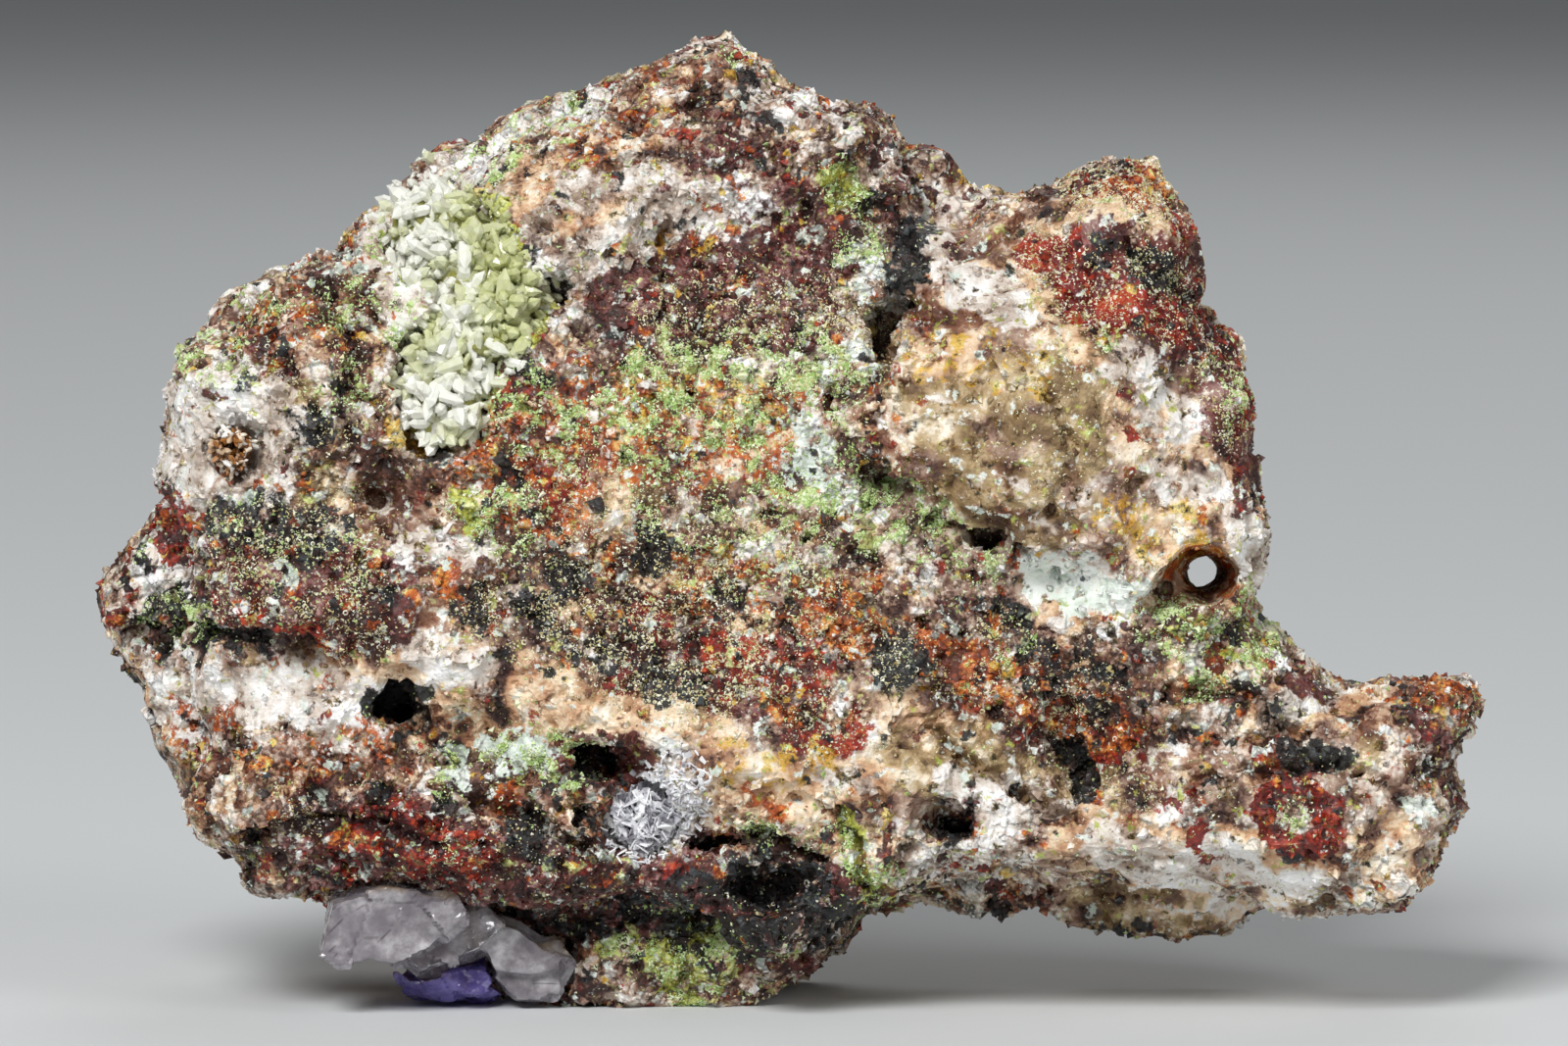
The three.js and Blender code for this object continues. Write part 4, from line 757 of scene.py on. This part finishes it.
def rock_material():
    """Vuggy quartz rock, broken and stained: granular quartz with hematite, goethite, manganese oxide and
    green copper dust in it. Gives a rough, speckled skin with a few bright grain faces."""
    material, tree, shader, _ = new_material("iron_stained_vuggy_quartz_broken")
    place = add_node(tree, "ShaderNodeTexCoord").outputs["Object"]
    wide = add_node(tree, "ShaderNodeTexNoise", {
        "Vector": place, "Scale": per_mm(1.7), "Detail": 6.0, "Roughness": 0.6})
    fine = add_node(tree, "ShaderNodeTexNoise", {
        "Vector": place, "Scale": per_mm(0.7), "Detail": 5.0, "Roughness": 0.64})
    grain = add_node(tree, "ShaderNodeTexVoronoi", {"Vector": place, "Scale": per_mm(0.16)})
    split_wide = add_node(tree, "ShaderNodeSeparateColor", {"Color": wide.outputs["Color"]})
    split_fine = add_node(tree, "ShaderNodeSeparateColor", {"Color": fine.outputs["Color"]})
    split_grain = add_node(tree, "ShaderNodeSeparateColor", {"Color": grain.outputs["Color"]})
    height = add_node(tree, "ShaderNodeAttribute", attribute_name="height")
    calm = add_node(tree, "ShaderNodeAttribute", attribute_name="calm")
    even = add_node(tree, "ShaderNodeMath", {
        0: split_wide.outputs["Green"], 1: 2.5, 2: -0.74}, operation="MULTIPLY_ADD")

    # The tone runs from the dark of the hollows to the bright of the highest grains: painted shade in the
    # hollows and painted light on the high grains, by the stored height
    tones = []
    for noise, channel in ((split_wide, "Green"), (split_fine, "Green"), (split_fine, "Blue")):
        grainy = add_node(tree, "ShaderNodeMath", {
            0: split_grain.outputs[channel], 1: 0.12, 2: noise.outputs[channel]}, operation="MULTIPLY_ADD")
        spread = add_node(tree, "ShaderNodeMath", {
            0: grainy.outputs[0], 1: 3.3, 2: -1.4}, operation="MULTIPLY_ADD")
        relief = add_node(tree, "ShaderNodeMath", {
            0: height.outputs["Fac"], 1: 0.8, 2: spread.outputs[0]}, operation="MULTIPLY_ADD")
        tones.append(add_node(tree, "ShaderNodeMix", {
            "Factor": calm.outputs["Fac"], 2: relief.outputs[0], 3: even.outputs[0]}, data_type="FLOAT"))
    channels = itertools.cycle(("Red", "Blue", "Green"))

    colour = add_node(
        tree, "ShaderNodeValToRGB", {"Fac": tones[0].outputs[0]},
        stops=[(0.1, "38201C"), (0.35, "765648"), (0.6, "B69884"), (0.9, "EEE4DA")]).outputs["Color"]
    for number, (mineral, (kind, ragged, soft, solid, codes)) in enumerate(MINERAL_LOOKS.items()):
        cover = add_node(tree, "ShaderNodeAttribute", attribute_name=mineral)
        noise = split_wide if kind == "wide" else split_fine
        broken = add_node(tree, "ShaderNodeMath", {
            0: noise.outputs[next(channels)], 1: 4.6 * ragged, 2: cover.outputs["Fac"]},
            operation="MULTIPLY_ADD")
        threshold = 0.52 + 2.3 * ragged
        present = add_node(tree, "ShaderNodeMapRange", {
            "Value": broken.outputs[0], "From Min": threshold - soft, "From Max": threshold + soft,
            "To Max": solid}, interpolation_type="SMOOTHSTEP")
        shades = add_node(
            tree, "ShaderNodeValToRGB", {"Fac": tones[0 if kind == "wide" else 1 + number % 2].outputs[0]},
            stops=list(zip((0.1, 0.4, 0.65, 0.95), codes)))
        colour = add_node(tree, "ShaderNodeMix", {
            "Factor": present.outputs["Result"], 6: colour, 7: shades.outputs["Color"]},
            data_type="RGBA").outputs[2]

    # Dark earth sits in the joints between the quartz grains
    bent = add_node(tree, "ShaderNodeVectorMath", {
        0: wide.outputs["Color"], 1: (0.9 * MM, 0.9 * MM, 0.9 * MM), 2: place}, operation="MULTIPLY_ADD")
    joints = add_node(tree, "ShaderNodeTexVoronoi", {
        "Vector": bent.outputs[0], "Scale": per_mm(0.85)}, feature="DISTANCE_TO_EDGE")
    joint = add_node(tree, "ShaderNodeMath", {
        0: split_fine.outputs["Red"], 1: -0.34, 2: joints.outputs["Distance"]}, operation="MULTIPLY_ADD")
    joint = add_node(tree, "ShaderNodeMath", {
        0: calm.outputs["Fac"], 1: 0.14, 2: joint.outputs[0]}, operation="MULTIPLY_ADD")
    clear = add_node(tree, "ShaderNodeMapRange", {
        "Value": joint.outputs[0], "From Min": -0.17, "From Max": -0.08, "To Min": 0.6, "To Max": 0.0})
    colour = add_node(tree, "ShaderNodeMix", {
        "Factor": clear.outputs["Result"], 6: colour, 7: linear("3A231B")}, data_type="RGBA").outputs[2]
    tree.links.new(colour, shader.inputs["Base Color"])

    gloss = add_node(
        tree, "ShaderNodeMapRange", {
            "Value": split_grain.outputs["Blue"], "From Min": 0.8, "From Max": 0.95,
            "To Min": 0.58, "To Max": 0.16})
    tree.links.new(gloss.outputs["Result"], shader.inputs["Roughness"])
    bump_height = add_node(tree, "ShaderNodeMath", {
        0: grain.outputs["Distance"], 1: -0.5, 2: split_fine.outputs["Blue"]}, operation="MULTIPLY_ADD")
    bump = add_node(tree, "ShaderNodeBump", {
        "Height": bump_height.outputs[0], "Strength": 0.5, "Distance": 0.16 * MM})
    tree.links.new(bump.outputs["Normal"], shader.inputs["Normal"])
    return material


def tinted_material(name, codes, rough, seep=0.0, grain=0.3):
    """A skin whose colour runs through codes from grain to grain, by the piece's own shade value. Returns
    the material, its shader and its colour stops."""
    material, tree, shader, _ = new_material(name)
    place = add_node(tree, "ShaderNodeTexCoord").outputs["Object"]
    noise = add_node(tree, "ShaderNodeTexNoise", {
        "Vector": place, "Scale": per_mm(grain), "Detail": 3.0, "Roughness": 0.6})
    shade = add_node(tree, "ShaderNodeAttribute", attribute_name="shade")
    mixed = add_node(tree, "ShaderNodeMath", {
        0: noise.outputs["Fac"], 1: 0.5, 2: shade.outputs["Fac"]}, operation="MULTIPLY_ADD")
    spots = [0.2 + 0.95 * i / (len(codes) - 1) for i in range(len(codes))]
    ramp = add_node(tree, "ShaderNodeValToRGB", {"Fac": mixed.outputs[0]}, stops=[
        (min(spot, 1.0), code) for spot, code in zip(spots, codes)])
    tree.links.new(ramp.outputs["Color"], shader.inputs["Base Color"])
    shader.inputs["Roughness"].default_value = rough
    shader.inputs["Transmission Weight"].default_value = seep
    bump = add_node(tree, "ShaderNodeBump", {
        "Height": noise.outputs["Fac"], "Strength": 0.35, "Distance": 0.06 * MM})
    tree.links.new(bump.outputs["Normal"], shader.inputs["Normal"])
    return material, shader, ramp.color_ramp.elements


def clear_crystal_material(name, ior, rough, absorb, density, codes, clear):
    """See-through crystal: plain transmission with its own IOR, and a body colour by absorption."""
    material, tree, shader, output = new_material(name)
    place = add_node(tree, "ShaderNodeTexCoord").outputs["Object"]
    clouds = add_node(tree, "ShaderNodeTexNoise", {
        "Vector": place, "Scale": per_mm(1.4), "Detail": 5.0, "Roughness": 0.62})
    steps = add_node(tree, "ShaderNodeTexVoronoi", {"Vector": place, "Scale": per_mm(0.45)})
    stain = add_node(tree, "ShaderNodeAttribute", attribute_name="stain")
    tone = add_node(tree, "ShaderNodeMath", {
        0: clouds.outputs["Fac"], 1: 1.6, 2: -0.45}, operation="MULTIPLY_ADD")
    colour = add_node(
        tree, "ShaderNodeValToRGB", {"Fac": tone.outputs[0]}, stops=list(zip((0.15, 0.5, 0.8), codes)))
    earthy = add_node(tree, "ShaderNodeMix", {
        "Factor": stain.outputs["Fac"], 6: colour.outputs["Color"], 7: linear("A8854E")}, data_type="RGBA")
    tree.links.new(earthy.outputs[2], shader.inputs["Base Color"])
    shader.inputs["IOR"].default_value = ior
    seen_through = add_node(tree, "ShaderNodeMapRange", {
        "Value": tone.outputs[0], "From Min": 0.3, "From Max": 0.8, "To Min": clear, "To Max": 0.25})
    tree.links.new(seen_through.outputs["Result"], shader.inputs["Transmission Weight"])
    shader.inputs["Roughness"].default_value = rough
    bump = add_node(tree, "ShaderNodeBump", {
        "Height": steps.outputs["Distance"], "Strength": 0.5, "Distance": 0.1 * MM})
    tree.links.new(bump.outputs["Normal"], shader.inputs["Normal"])
    body = add_node(tree, "ShaderNodeVolumeAbsorption", {"Color": absorb, "Density": density})
    tree.links.new(body.outputs["Volume"], output.inputs["Volume"])
    return material


def finer_front(mesh):
    """Splits the faces of the best side once more, so that it holds finer relief."""
    points, normals, _ = mesh_arrays(mesh)
    depth = seen_layout(points)[2]
    shown = (depth < FRONT_DEPTH) & (normals[:, 1] < -FRONT_FACING)
    form = bmesh.new()
    form.from_mesh(mesh)
    form.edges.ensure_lookup_table()
    edges = [e for e in form.edges if shown[e.verts[0].index] and shown[e.verts[1].index]]
    bmesh.ops.subdivide_edges(form, edges=edges, cuts=1, use_grid_fill=True, smooth=0.0)
    bmesh.ops.triangulate(form, faces=form.faces[:])
    form.to_mesh(mesh)
    form.free()


def rock_relief(points, relief, seed, calm):
    """How far the rock's surface stands out and how far its pits go in, in mm, less where calm."""
    lumps = relief * layered_noise(points, 3.4, seed, 3)
    warp = np.stack([layered_noise(points, 0.9, seed + n, 2) for n in (41, 42, 43)], axis=1)
    distance, pick, face = grains(points + 0.4 * warp, 1.5, seed + 50)
    distance_small, pick_small, face_small = grains(points + 0.16 * warp, 0.6, seed + 60)
    hole = smooth_step(pick[:, 0], 0.76, 0.82) * (1 - smooth_step(distance, 0.1, 0.4))
    small_hole = smooth_step(pick_small[:, 1], 0.74, 0.8) * (1 - smooth_step(distance_small, 0.15, 0.5))
    raised = lumps + 0.34 * face + (0.14 - 0.09 * calm) * face_small
    return raised, (0.5 * hole + 0.3 * small_hole) * (1 - 0.85 * calm)


class SPECIMEN_OT_rock(bpy.types.Operator):
    """Builds the rock from its solid: fine broken relief, pinholes and the place of each mineral"""
    bl_idname = "specimen.rock"
    bl_label = "Rock"

    def execute(self, context):
        settings = context.scene.specimen_rock
        rock = remeshed_copy("matrix_rock", "rock", settings.voxel)
        mesh = rock.data
        finer_front(mesh)
        points, normals, _ = mesh_arrays(mesh)
        base_u, base_v, depth = seen_layout(points)
        # The strokes wander a little on the face, and more and more on the walls behind it
        reach = 0.6 + 0.3 * np.clip(depth + 7, 0, 8)
        stray = [reach * layered_noise(points, 2.2, settings.seed + n, 4) for n in (11, 12)]
        u, v = base_u + stray[0], base_v + stray[1]
        # 1 where the best side shows, down to 0 on the back, where patches of noise take over
        seen = smooth_step(-depth, -9.0, -4.0) * smooth_step(-normals[:, 1], -0.1, 0.35)
        facing = np.maximum(smooth_step(-depth, -1.0, 3.0), seen)
        cover = {}
        for number, (name, strokes) in enumerate(STROKES.items()):
            size, start, full = BACK_PATCH[name]
            wild = smooth_step(layered_noise(points, size, 101 + number), start, full)
            painted = 1.25 * stroke_cover(strokes, u, v) * facing - 0.25
            cover[name] = np.maximum(painted, (1 - facing) * wild)
        calm = stroke_cover(CALM_STROKES, u, v) * facing
        for number, (name, (size, start, full)) in enumerate(FLECKS.items()):
            fleck = smooth_step(layered_noise(points, size, 201 + number, 2), start, full)
            cover[name] = np.maximum(cover[name], 0.9 * fleck * (1 - 0.75 * calm))
        raised, sunk = rock_relief(points, settings.relief / MM, settings.seed, calm)
        sugar = np.clip(cover["white"] + 0.6 * cover["cream"] + 0.4, 0, 1)
        for hole_u, hole_v, radius, deep in PINHOLES:
            outside = smooth_step(np.hypot(u - hole_u, v - hole_v), 0.5 * radius, radius)
            sunk += deep * facing * (1 - outside)
        for radius, deep, *path in CRACKS:
            near = stroke_cover([(radius, 1, *path)], base_u + 0.6 * stray[0], base_v + 0.6 * stray[1])
            sunk += deep * facing * near
        height = raised - sunk
        near_hole = np.zeros(len(points))
        for hole_u, hole_v in OPEN_HOLES:
            reach_in = 1 - smooth_step(np.hypot(base_u - hole_u, base_v - hole_v), 1.1, 2.0)
            near_hole = np.maximum(near_hole, reach_in)
        ragged_rim = -0.26 + 0.24 * layered_noise(points, 1.1, 58, 2)
        height += near_hole * (np.minimum(ragged_rim, -0.05) - height)
        on_floor = points[:, 2] < 0.35
        height[on_floor] = np.minimum(height[on_floor], 0)
        moved = points + normals * height[:, None]
        moved[:, 2] = np.maximum(moved[:, 2], 0)
        set_points(mesh, moved)
        for name, values in cover.items():
            store_value(mesh, name, values)
        # Painted shade and light: this height, with pits and cracks counted twice, darkens the colour in
        # hollows and lightens it on high grains
        store_value(mesh, "height", np.clip(raised - 2.0 * sunk, -0.7, 0.5))
        clumps = 0.2 + 1.3 * smooth_step(layered_noise(points, 0.9, 77), -0.1, 0.4)
        green = np.maximum(stroke_cover(DUST_STROKES, u, v), 0.07 - 0.04 * calm)
        green = green * facing + 0.06 * (1 - facing)
        pale = np.maximum(stroke_cover(CREAM_DUST_STROKES, u, v), 0.08 - 0.02 * calm)
        pale = pale * facing + 0.03 * (1 - facing)
        store_value(mesh, "green_dust", green * clumps)
        store_value(mesh, "film", 0.7 * green * clumps - 0.2)
        store_value(mesh, "calm", calm)
        store_value(mesh, "cream_dust", pale * (0.5 + 0.5 * clumps) * (1 - 0.7 * cover["white"]))
        loose = (0.5 + 0.5 * sugar) * (1 - 0.6 * calm) * facing + 0.12
        store_value(mesh, "sugar", loose * (1 - near_hole))
        settle(rock, "matrix_rock", rock_material())
        return {"FINISHED"}


def cleft_shade(places, random):
    """Milky on the cleft's left, yellow-green down its right side, as a number per crystal."""
    u, v, _ = seen_layout(places)
    tinted = stroke_cover(CLEFT_TINT_STROKES, u, v)
    patchy = smooth_step(layered_noise(places, 1.6, 35), -0.5, 0.4)
    return (0.36 + 0.36 * patchy + random.uniform(0, 0.35, len(places))) * (1 - 0.6 * tinted)


def crust_piece(name, node, material, count, length, radius, lean, seed, voxel, shades,
                painted_shade_middle=None):
    """A crust of many small crystals that grow out of the CAD crust's own surface."""
    bed = remeshed_copy(node, name, voxel)
    surface = mesh_arrays(bed.data)
    points, normals, _ = surface
    random = np.random.default_rng(seed)
    open_side = smooth_step(-normals[:, 1], -0.1, 0.5)
    places, directions, _ = scatter(surface, open_side + 0.02, count, random)
    directions = directions + np.array((0, -0.5, 0.1))
    directions /= np.linalg.norm(directions, axis=1, keepdims=True)
    scale = random.uniform(0.3, 1.0, count) ** 1.2
    sizes = np.stack([
        radius * scale * random.uniform(0.75, 1.2, count), radius * scale, length * scale], axis=1)
    *grown, owner = copies(crystal_shape(), places, directions, sizes, random, lean)
    shade = draw_shades(shades, places, random)
    # Painted shade: crystals darken towards the hollow's middle, for the shade in its depth
    if painted_shade_middle:
        u, v, _ = seen_layout(places)
        shade *= smooth_step(np.hypot(u - painted_shade_middle[0], v - painted_shade_middle[1]), 0.1, 0.75)
    # Painted shade: the bed between the crystals takes shade 0, the darkest of the crust's colours, for
    # the shade deep between them
    settle_crust(name, node, material, bed, points, grown, shade[owner], 0.0)


class SPECIMEN_OT_cleft(bpy.types.Operator):
    """Grows the pale quartz crystals of the cleft"""
    bl_idname = "specimen.cleft"
    bl_label = "Cleft crystals"

    def execute(self, context):
        settings = context.scene.specimen_crystals
        # Clear to milky quartz with a breath of green dust in it: glassy faces, bright edges, pale depths
        material, shader, stops = tinted_material(
            "pale_green_quartz_grown", ["8E8C44", "D4D89E", "ECEED0", "FCFCF2"], 0.1, 0.12, 0.35)
        shader.inputs["IOR"].default_value = QUARTZ_IOR
        stops[2].color = settings.cleft
        random = np.random.default_rng(24)
        chosen = fringe_places((2.3, 1, *CLEFT_PATH), CLEFT_FRINGE_CRYSTALS, random)
        reach = random.lognormal(-0.25, 0.4, CLEFT_FRINGE_CRYSTALS)
        sizes = np.stack([0.18 * reach, 0.13 * reach, 0.42 * reach], axis=1)
        strewn_piece(
            "cleft_fringe", material, crystal_shape(), chosen, sizes, random, 0.8,
            cleft_shade)
        crust_piece(
            "cleft_crystals", "cleft_quartz", material, CLEFT_CRYSTALS,
            settings.length / MM, 0.31, 0.8, 21, 0.12 * MM, cleft_shade)
        return {"FINISHED"}


class SPECIMEN_OT_star_vug(bpy.types.Operator):
    """Grows the orange-stained quartz points of the star-shaped hollow"""
    bl_idname = "specimen.star_vug"
    bl_label = "Star vug crystals"

    def execute(self, context):
        # Quartz with an iron film: orange-brown, creamy on the outer points, and near-black towards the
        # middle as painted shade in the hollow's depth
        material = tinted_material(
            "iron_filmed_quartz_grown", ["3A1A08", "B87838", "F0DDC0", "FFFCF6"], 0.25, 0.1, 0.5)[0]
        crust_piece(
            "star_vug_crystals", "star_vug_quartz", material, STAR_VUG_CRYSTALS,
            0.42, 0.13, 0.7, 22, 0.08 * MM, (0.2, 1.0), STAR_VUG)
        return {"FINISHED"}


class SPECIMEN_OT_blades(bpy.types.Operator):
    """Builds the white blades that cross in the lower hollow"""
    bl_idname = "specimen.blades"
    bl_label = "White blades"

    def execute(self, context):
        # Silica after thin bladed crystals: chalky white, matt, thin enough to look soft at the edges
        material = tinted_material(
            "silica_blades_leached", ["4A4452", "D4D4DA", "F6F6F8", "FFFFFF"], 0.7, 0.0, 0.25)[0]
        bed = remeshed_copy("white_blades", "blades", 0.09 * MM)
        surface = mesh_arrays(bed.data)
        points, normals, _ = surface
        random = np.random.default_rng(23)
        open_side = smooth_step(-normals[:, 1], -0.2, 0.4)
        places, directions, _ = scatter(surface, open_side + 0.02, BLADES, random)
        sizes = self.sizes((0.16, 0.42), (0.018, 0.035), (0.15, 0.42), BLADES, random)
        *grown, owner = copies(blade_shape(), places, directions, sizes, random, 0.5)
        rough = points + normals * (0.05 * layered_noise(points, 0.4, 31, 2))[:, None]
        shade = random.uniform(0.0, 0.75, BLADES)[owner]
        # Painted shade: the bed under the blades takes shade -0.3, dark lavender-grey, for the dark gaps
        # between them
        settle_crust("blades", "white_blades", material, bed, rough, grown, shade, -0.3)

        chosen = fringe_places((1.5, 1, (-5.8, 7.0), (-4.4, 8.4)), FRINGE_BLADES, random)
        sizes = self.sizes((0.08, 0.22), (0.02, 0.04), (0.08, 0.2), FRINGE_BLADES, random)
        strewn_piece(
            "blade_fringe", material, blade_shape(), chosen, sizes, random, 0.7,
            (0.15, 0.9))
        return {"FINISHED"}

    def sizes(self, wide, thick, high, count, random):
        """Half sizes of each blade in mm, drawn evenly from three (low, high) pairs."""
        return np.stack([random.uniform(*span, count) for span in (wide, thick, high)], axis=1)


def broken_crystal(node, name, material, voxel, rough, step):
    """A clear crystal mass from its solid, with flat stepped breaks in its faces."""
    piece = remeshed_copy(node, name, voxel)
    points, normals, _ = mesh_arrays(piece.data)
    face = grains(points, step, 91)[2]
    face_small = grains(points, 0.4 * step, 93)[2]
    height = rough * face + 0.2 * rough * face_small
    moved = points + normals * height[:, None]
    moved[:, 2] = np.maximum(moved[:, 2], 0.01)
    set_points(piece.data, moved)
    top = smooth_step(normals[:, 2], -0.1, 0.8) * smooth_step(layered_noise(points, 1.6, 94), -0.5, 0.5)
    store_value(piece.data, "stain", 0.75 * top)
    settle(piece, node, material)


class SPECIMEN_OT_underside(bpy.types.Operator):
    """Finishes the grey quartz and the purple fluorite of the underside"""
    bl_idname = "specimen.underside"
    bl_label = "Underside crystals"

    def execute(self, context):
        settings = context.scene.specimen_crystals
        # Smoky quartz, broken: clear grey with a lilac cast and milky clouds, glassy shell-like breaks
        quartz = clear_crystal_material(
            "smoky_quartz_broken", QUARTZ_IOR, 0.12, linear("C9C2CC"), 90.0,
            ("A59DA6", "DAD6DA", "FAF8F8"), 0.6)
        broken_crystal("under_quartz", "grey_quartz", quartz, 0.13 * MM, 0.36, 2.6)
        # Fluorite, cleaved: clear violet with flat bright steps
        fluorite = clear_crystal_material(
            "violet_fluorite_cleaved", FLUORITE_IOR, 0.12, settings.fluorite, 160.0,
            ("7264B8", "9C90DE", "D8D0F4"), 0.55)
        broken_crystal("purple_fluorite", "fluorite", fluorite, 0.1 * MM, 0.3, 1.2)
        return {"FINISHED"}


class SPECIMEN_OT_grains(bpy.types.Operator):
    """Strews quartz grains, creaseyite specks and ring-shaped tufts over the rock"""
    bl_idname = "specimen.grains"
    bl_label = "Grains and dust"

    def execute(self, context):
        settings = context.scene.specimen_dust
        mesh = bpy.data.objects["rock"].data
        surface = mesh_arrays(mesh)
        green_dust = read_value(mesh, "green_dust")
        cream_dust = read_value(mesh, "cream_dust")
        random = np.random.default_rng(41)

        # Granular quartz: small broken grains of the rock's own minerals, thickest in its pale parts
        count = settings.grains
        chosen = scatter(surface, read_value(mesh, "sugar"), count, random)
        size = 0.15 * random.lognormal(0.0, 0.35, count)
        sizes = np.stack([
            size, size * random.uniform(0.6, 1.0, count), size * random.uniform(0.7, 1.3, count)], axis=1)
        strewn_piece(
            "quartz_grains", mesh.materials[0], grain_shape(), chosen, sizes, random, 0.9,
            (0.0, 0.3), mesh)

        # Creaseyite: pale green to cream mats of fine fibres, silky and not glossy
        green, _, stops = tinted_material(
            "creaseyite_specks_grown", ["86A056", "B0CE7C", "CCE4A0", "ECF6D0"], 0.6, 0.0, 0.5)
        stops[1].color = settings.green
        cream = tinted_material(
            "cream_specks_grown", ["B09A60", "D2C48C", "E6E0B4", "F4F2DC"], 0.6, 0.0, 0.5)[0]
        lots = (("creaseyite_specks", green_dust, green, 1.0), ("cream_specks", cream_dust, cream, 0.85))
        for name, density, material, share in lots:
            count = settings.specks
            chosen = scatter(surface, density ** 1.4, count, random)
            size = share * settings.speck_size / MM * random.lognormal(0.0, 0.42, count)
            sizes = np.stack([size * random.uniform(0.8, 1.7, count), size, size * 0.8], axis=1)
            strewn_piece(
                name, material, speck_shape(), chosen, sizes, random, 0.4, (0.0, 1.0))

        lots = (("creaseyite_rings", green_dust, green), ("cream_rings", cream_dust, cream))
        for name, density, material in lots:
            count = settings.rings
            chosen = scatter(surface, density ** 1.4, count, random)
            size = 0.058 * random.lognormal(0.0, 0.25, count)
            sizes = np.stack([size, size * random.uniform(0.7, 1.1, count), size], axis=1)
            strewn_piece(
                name, material, ring_shape(), chosen, sizes, random, 0.25, (0.2, 1.0))
        return {"FINISHED"}


class SPECIMEN_OT_stage(bpy.types.Operator):
    """Sets the pale floor, the soft lights and the camera"""
    bl_idname = "specimen.stage"
    bl_label = "Stage"

    def execute(self, context):
        scene = context.scene
        settings = scene.specimen_stage
        bpy.ops.mesh.primitive_circle_add(vertices=64, radius=3.0, fill_type="NGON", location=(0, 0, 0))
        floor = context.object
        floor.name = "floor"
        material, _, shader, _ = new_material("matt_paper_floor")
        shader.inputs["Base Color"].default_value = settings.floor
        shader.inputs["Roughness"].default_value = 0.9
        floor.data.materials.append(material)

        for name, place, size, power in SOFTBOXES:
            self.softbox(name, place, size, getattr(settings, power))
        world = bpy.data.worlds.new("soft_room")
        world.use_nodes = True
        world.node_tree.nodes["Background"].inputs["Color"].default_value = linear("EEF1F4")
        world.node_tree.nodes["Background"].inputs["Strength"].default_value = 0.12
        scene.world = world
        scene.view_settings.view_transform = "Standard"

        flat = real_place(*FLAT_SPOT)
        eye = (real_place(0, -EYE_DISTANCE, EYE_V) - flat) * MM
        centre = (real_place(0, 0, EYE_V) - flat) * MM
        camera = bpy.data.objects.new("camera", bpy.data.cameras.new("camera"))
        camera.data.sensor_width = SENSOR_WIDTH
        camera.data.lens = SENSOR_WIDTH * EYE_DISTANCE / PICTURE_WIDTH
        camera.data.clip_start = 0.01
        camera.location = eye
        camera.rotation_euler = (Vector(centre) - Vector(eye)).to_track_quat("-Z", "Y").to_euler()
        scene.collection.objects.link(camera)
        scene.camera = camera
        return {"FINISHED"}

    def softbox(self, name, place, size, power):
        """Adds a square area light, in metres, that looks at the specimen's middle."""
        light = bpy.data.lights.new(name, "AREA")
        light.shape = "SQUARE"
        light.size = size
        light.energy = power
        softbox = bpy.data.objects.new(name, light)
        softbox.location = place
        softbox.rotation_euler = (Vector((0, 0, 0.02)) - Vector(place)).to_track_quat("-Z", "Y").to_euler()
        bpy.context.scene.collection.objects.link(softbox)


class SPECIMEN_PT_panel(bpy.types.Panel):
    """Lists the specimen's steps and settings"""
    bl_label = "Creaseyite specimen"
    bl_idname = "SPECIMEN_PT_panel"
    bl_space_type = "VIEW_3D"
    bl_region_type = "UI"
    bl_category = "Specimen"

    def draw(self, context):
        for group in SETTINGS:
            settings = getattr(context.scene, group)
            for name in type(settings).__annotations__:
                self.layout.prop(settings, name)
        for step in STEPS:
            self.layout.operator(step.bl_idname)


SETTINGS = {
    "specimen_rock": RockSettings,
    "specimen_crystals": CrystalSettings,
    "specimen_dust": DustSettings,
    "specimen_stage": StageSettings,
}
STEPS = [
    SPECIMEN_OT_stage,
    SPECIMEN_OT_rock,
    SPECIMEN_OT_cleft,
    SPECIMEN_OT_star_vug,
    SPECIMEN_OT_blades,
    SPECIMEN_OT_underside,
    SPECIMEN_OT_grains,
]


def register():
    for made in [*SETTINGS.values(), *STEPS, SPECIMEN_PT_panel]:
        bpy.utils.register_class(made)
    for name, group in SETTINGS.items():
        setattr(bpy.types.Scene, name, bpy.props.PointerProperty(type=group))


def unregister():
    for name in SETTINGS:
        delattr(bpy.types.Scene, name)
    for made in reversed([*SETTINGS.values(), *STEPS, SPECIMEN_PT_panel]):
        bpy.utils.unregister_class(made)


def main():
    register()
    bpy.ops.specimen.stage()
    bpy.ops.specimen.rock()
    bpy.ops.specimen.cleft()
    bpy.ops.specimen.star_vug()
    bpy.ops.specimen.blades()
    bpy.ops.specimen.underside()
    bpy.ops.specimen.grains()


if __name__ == "__main__":
    main()
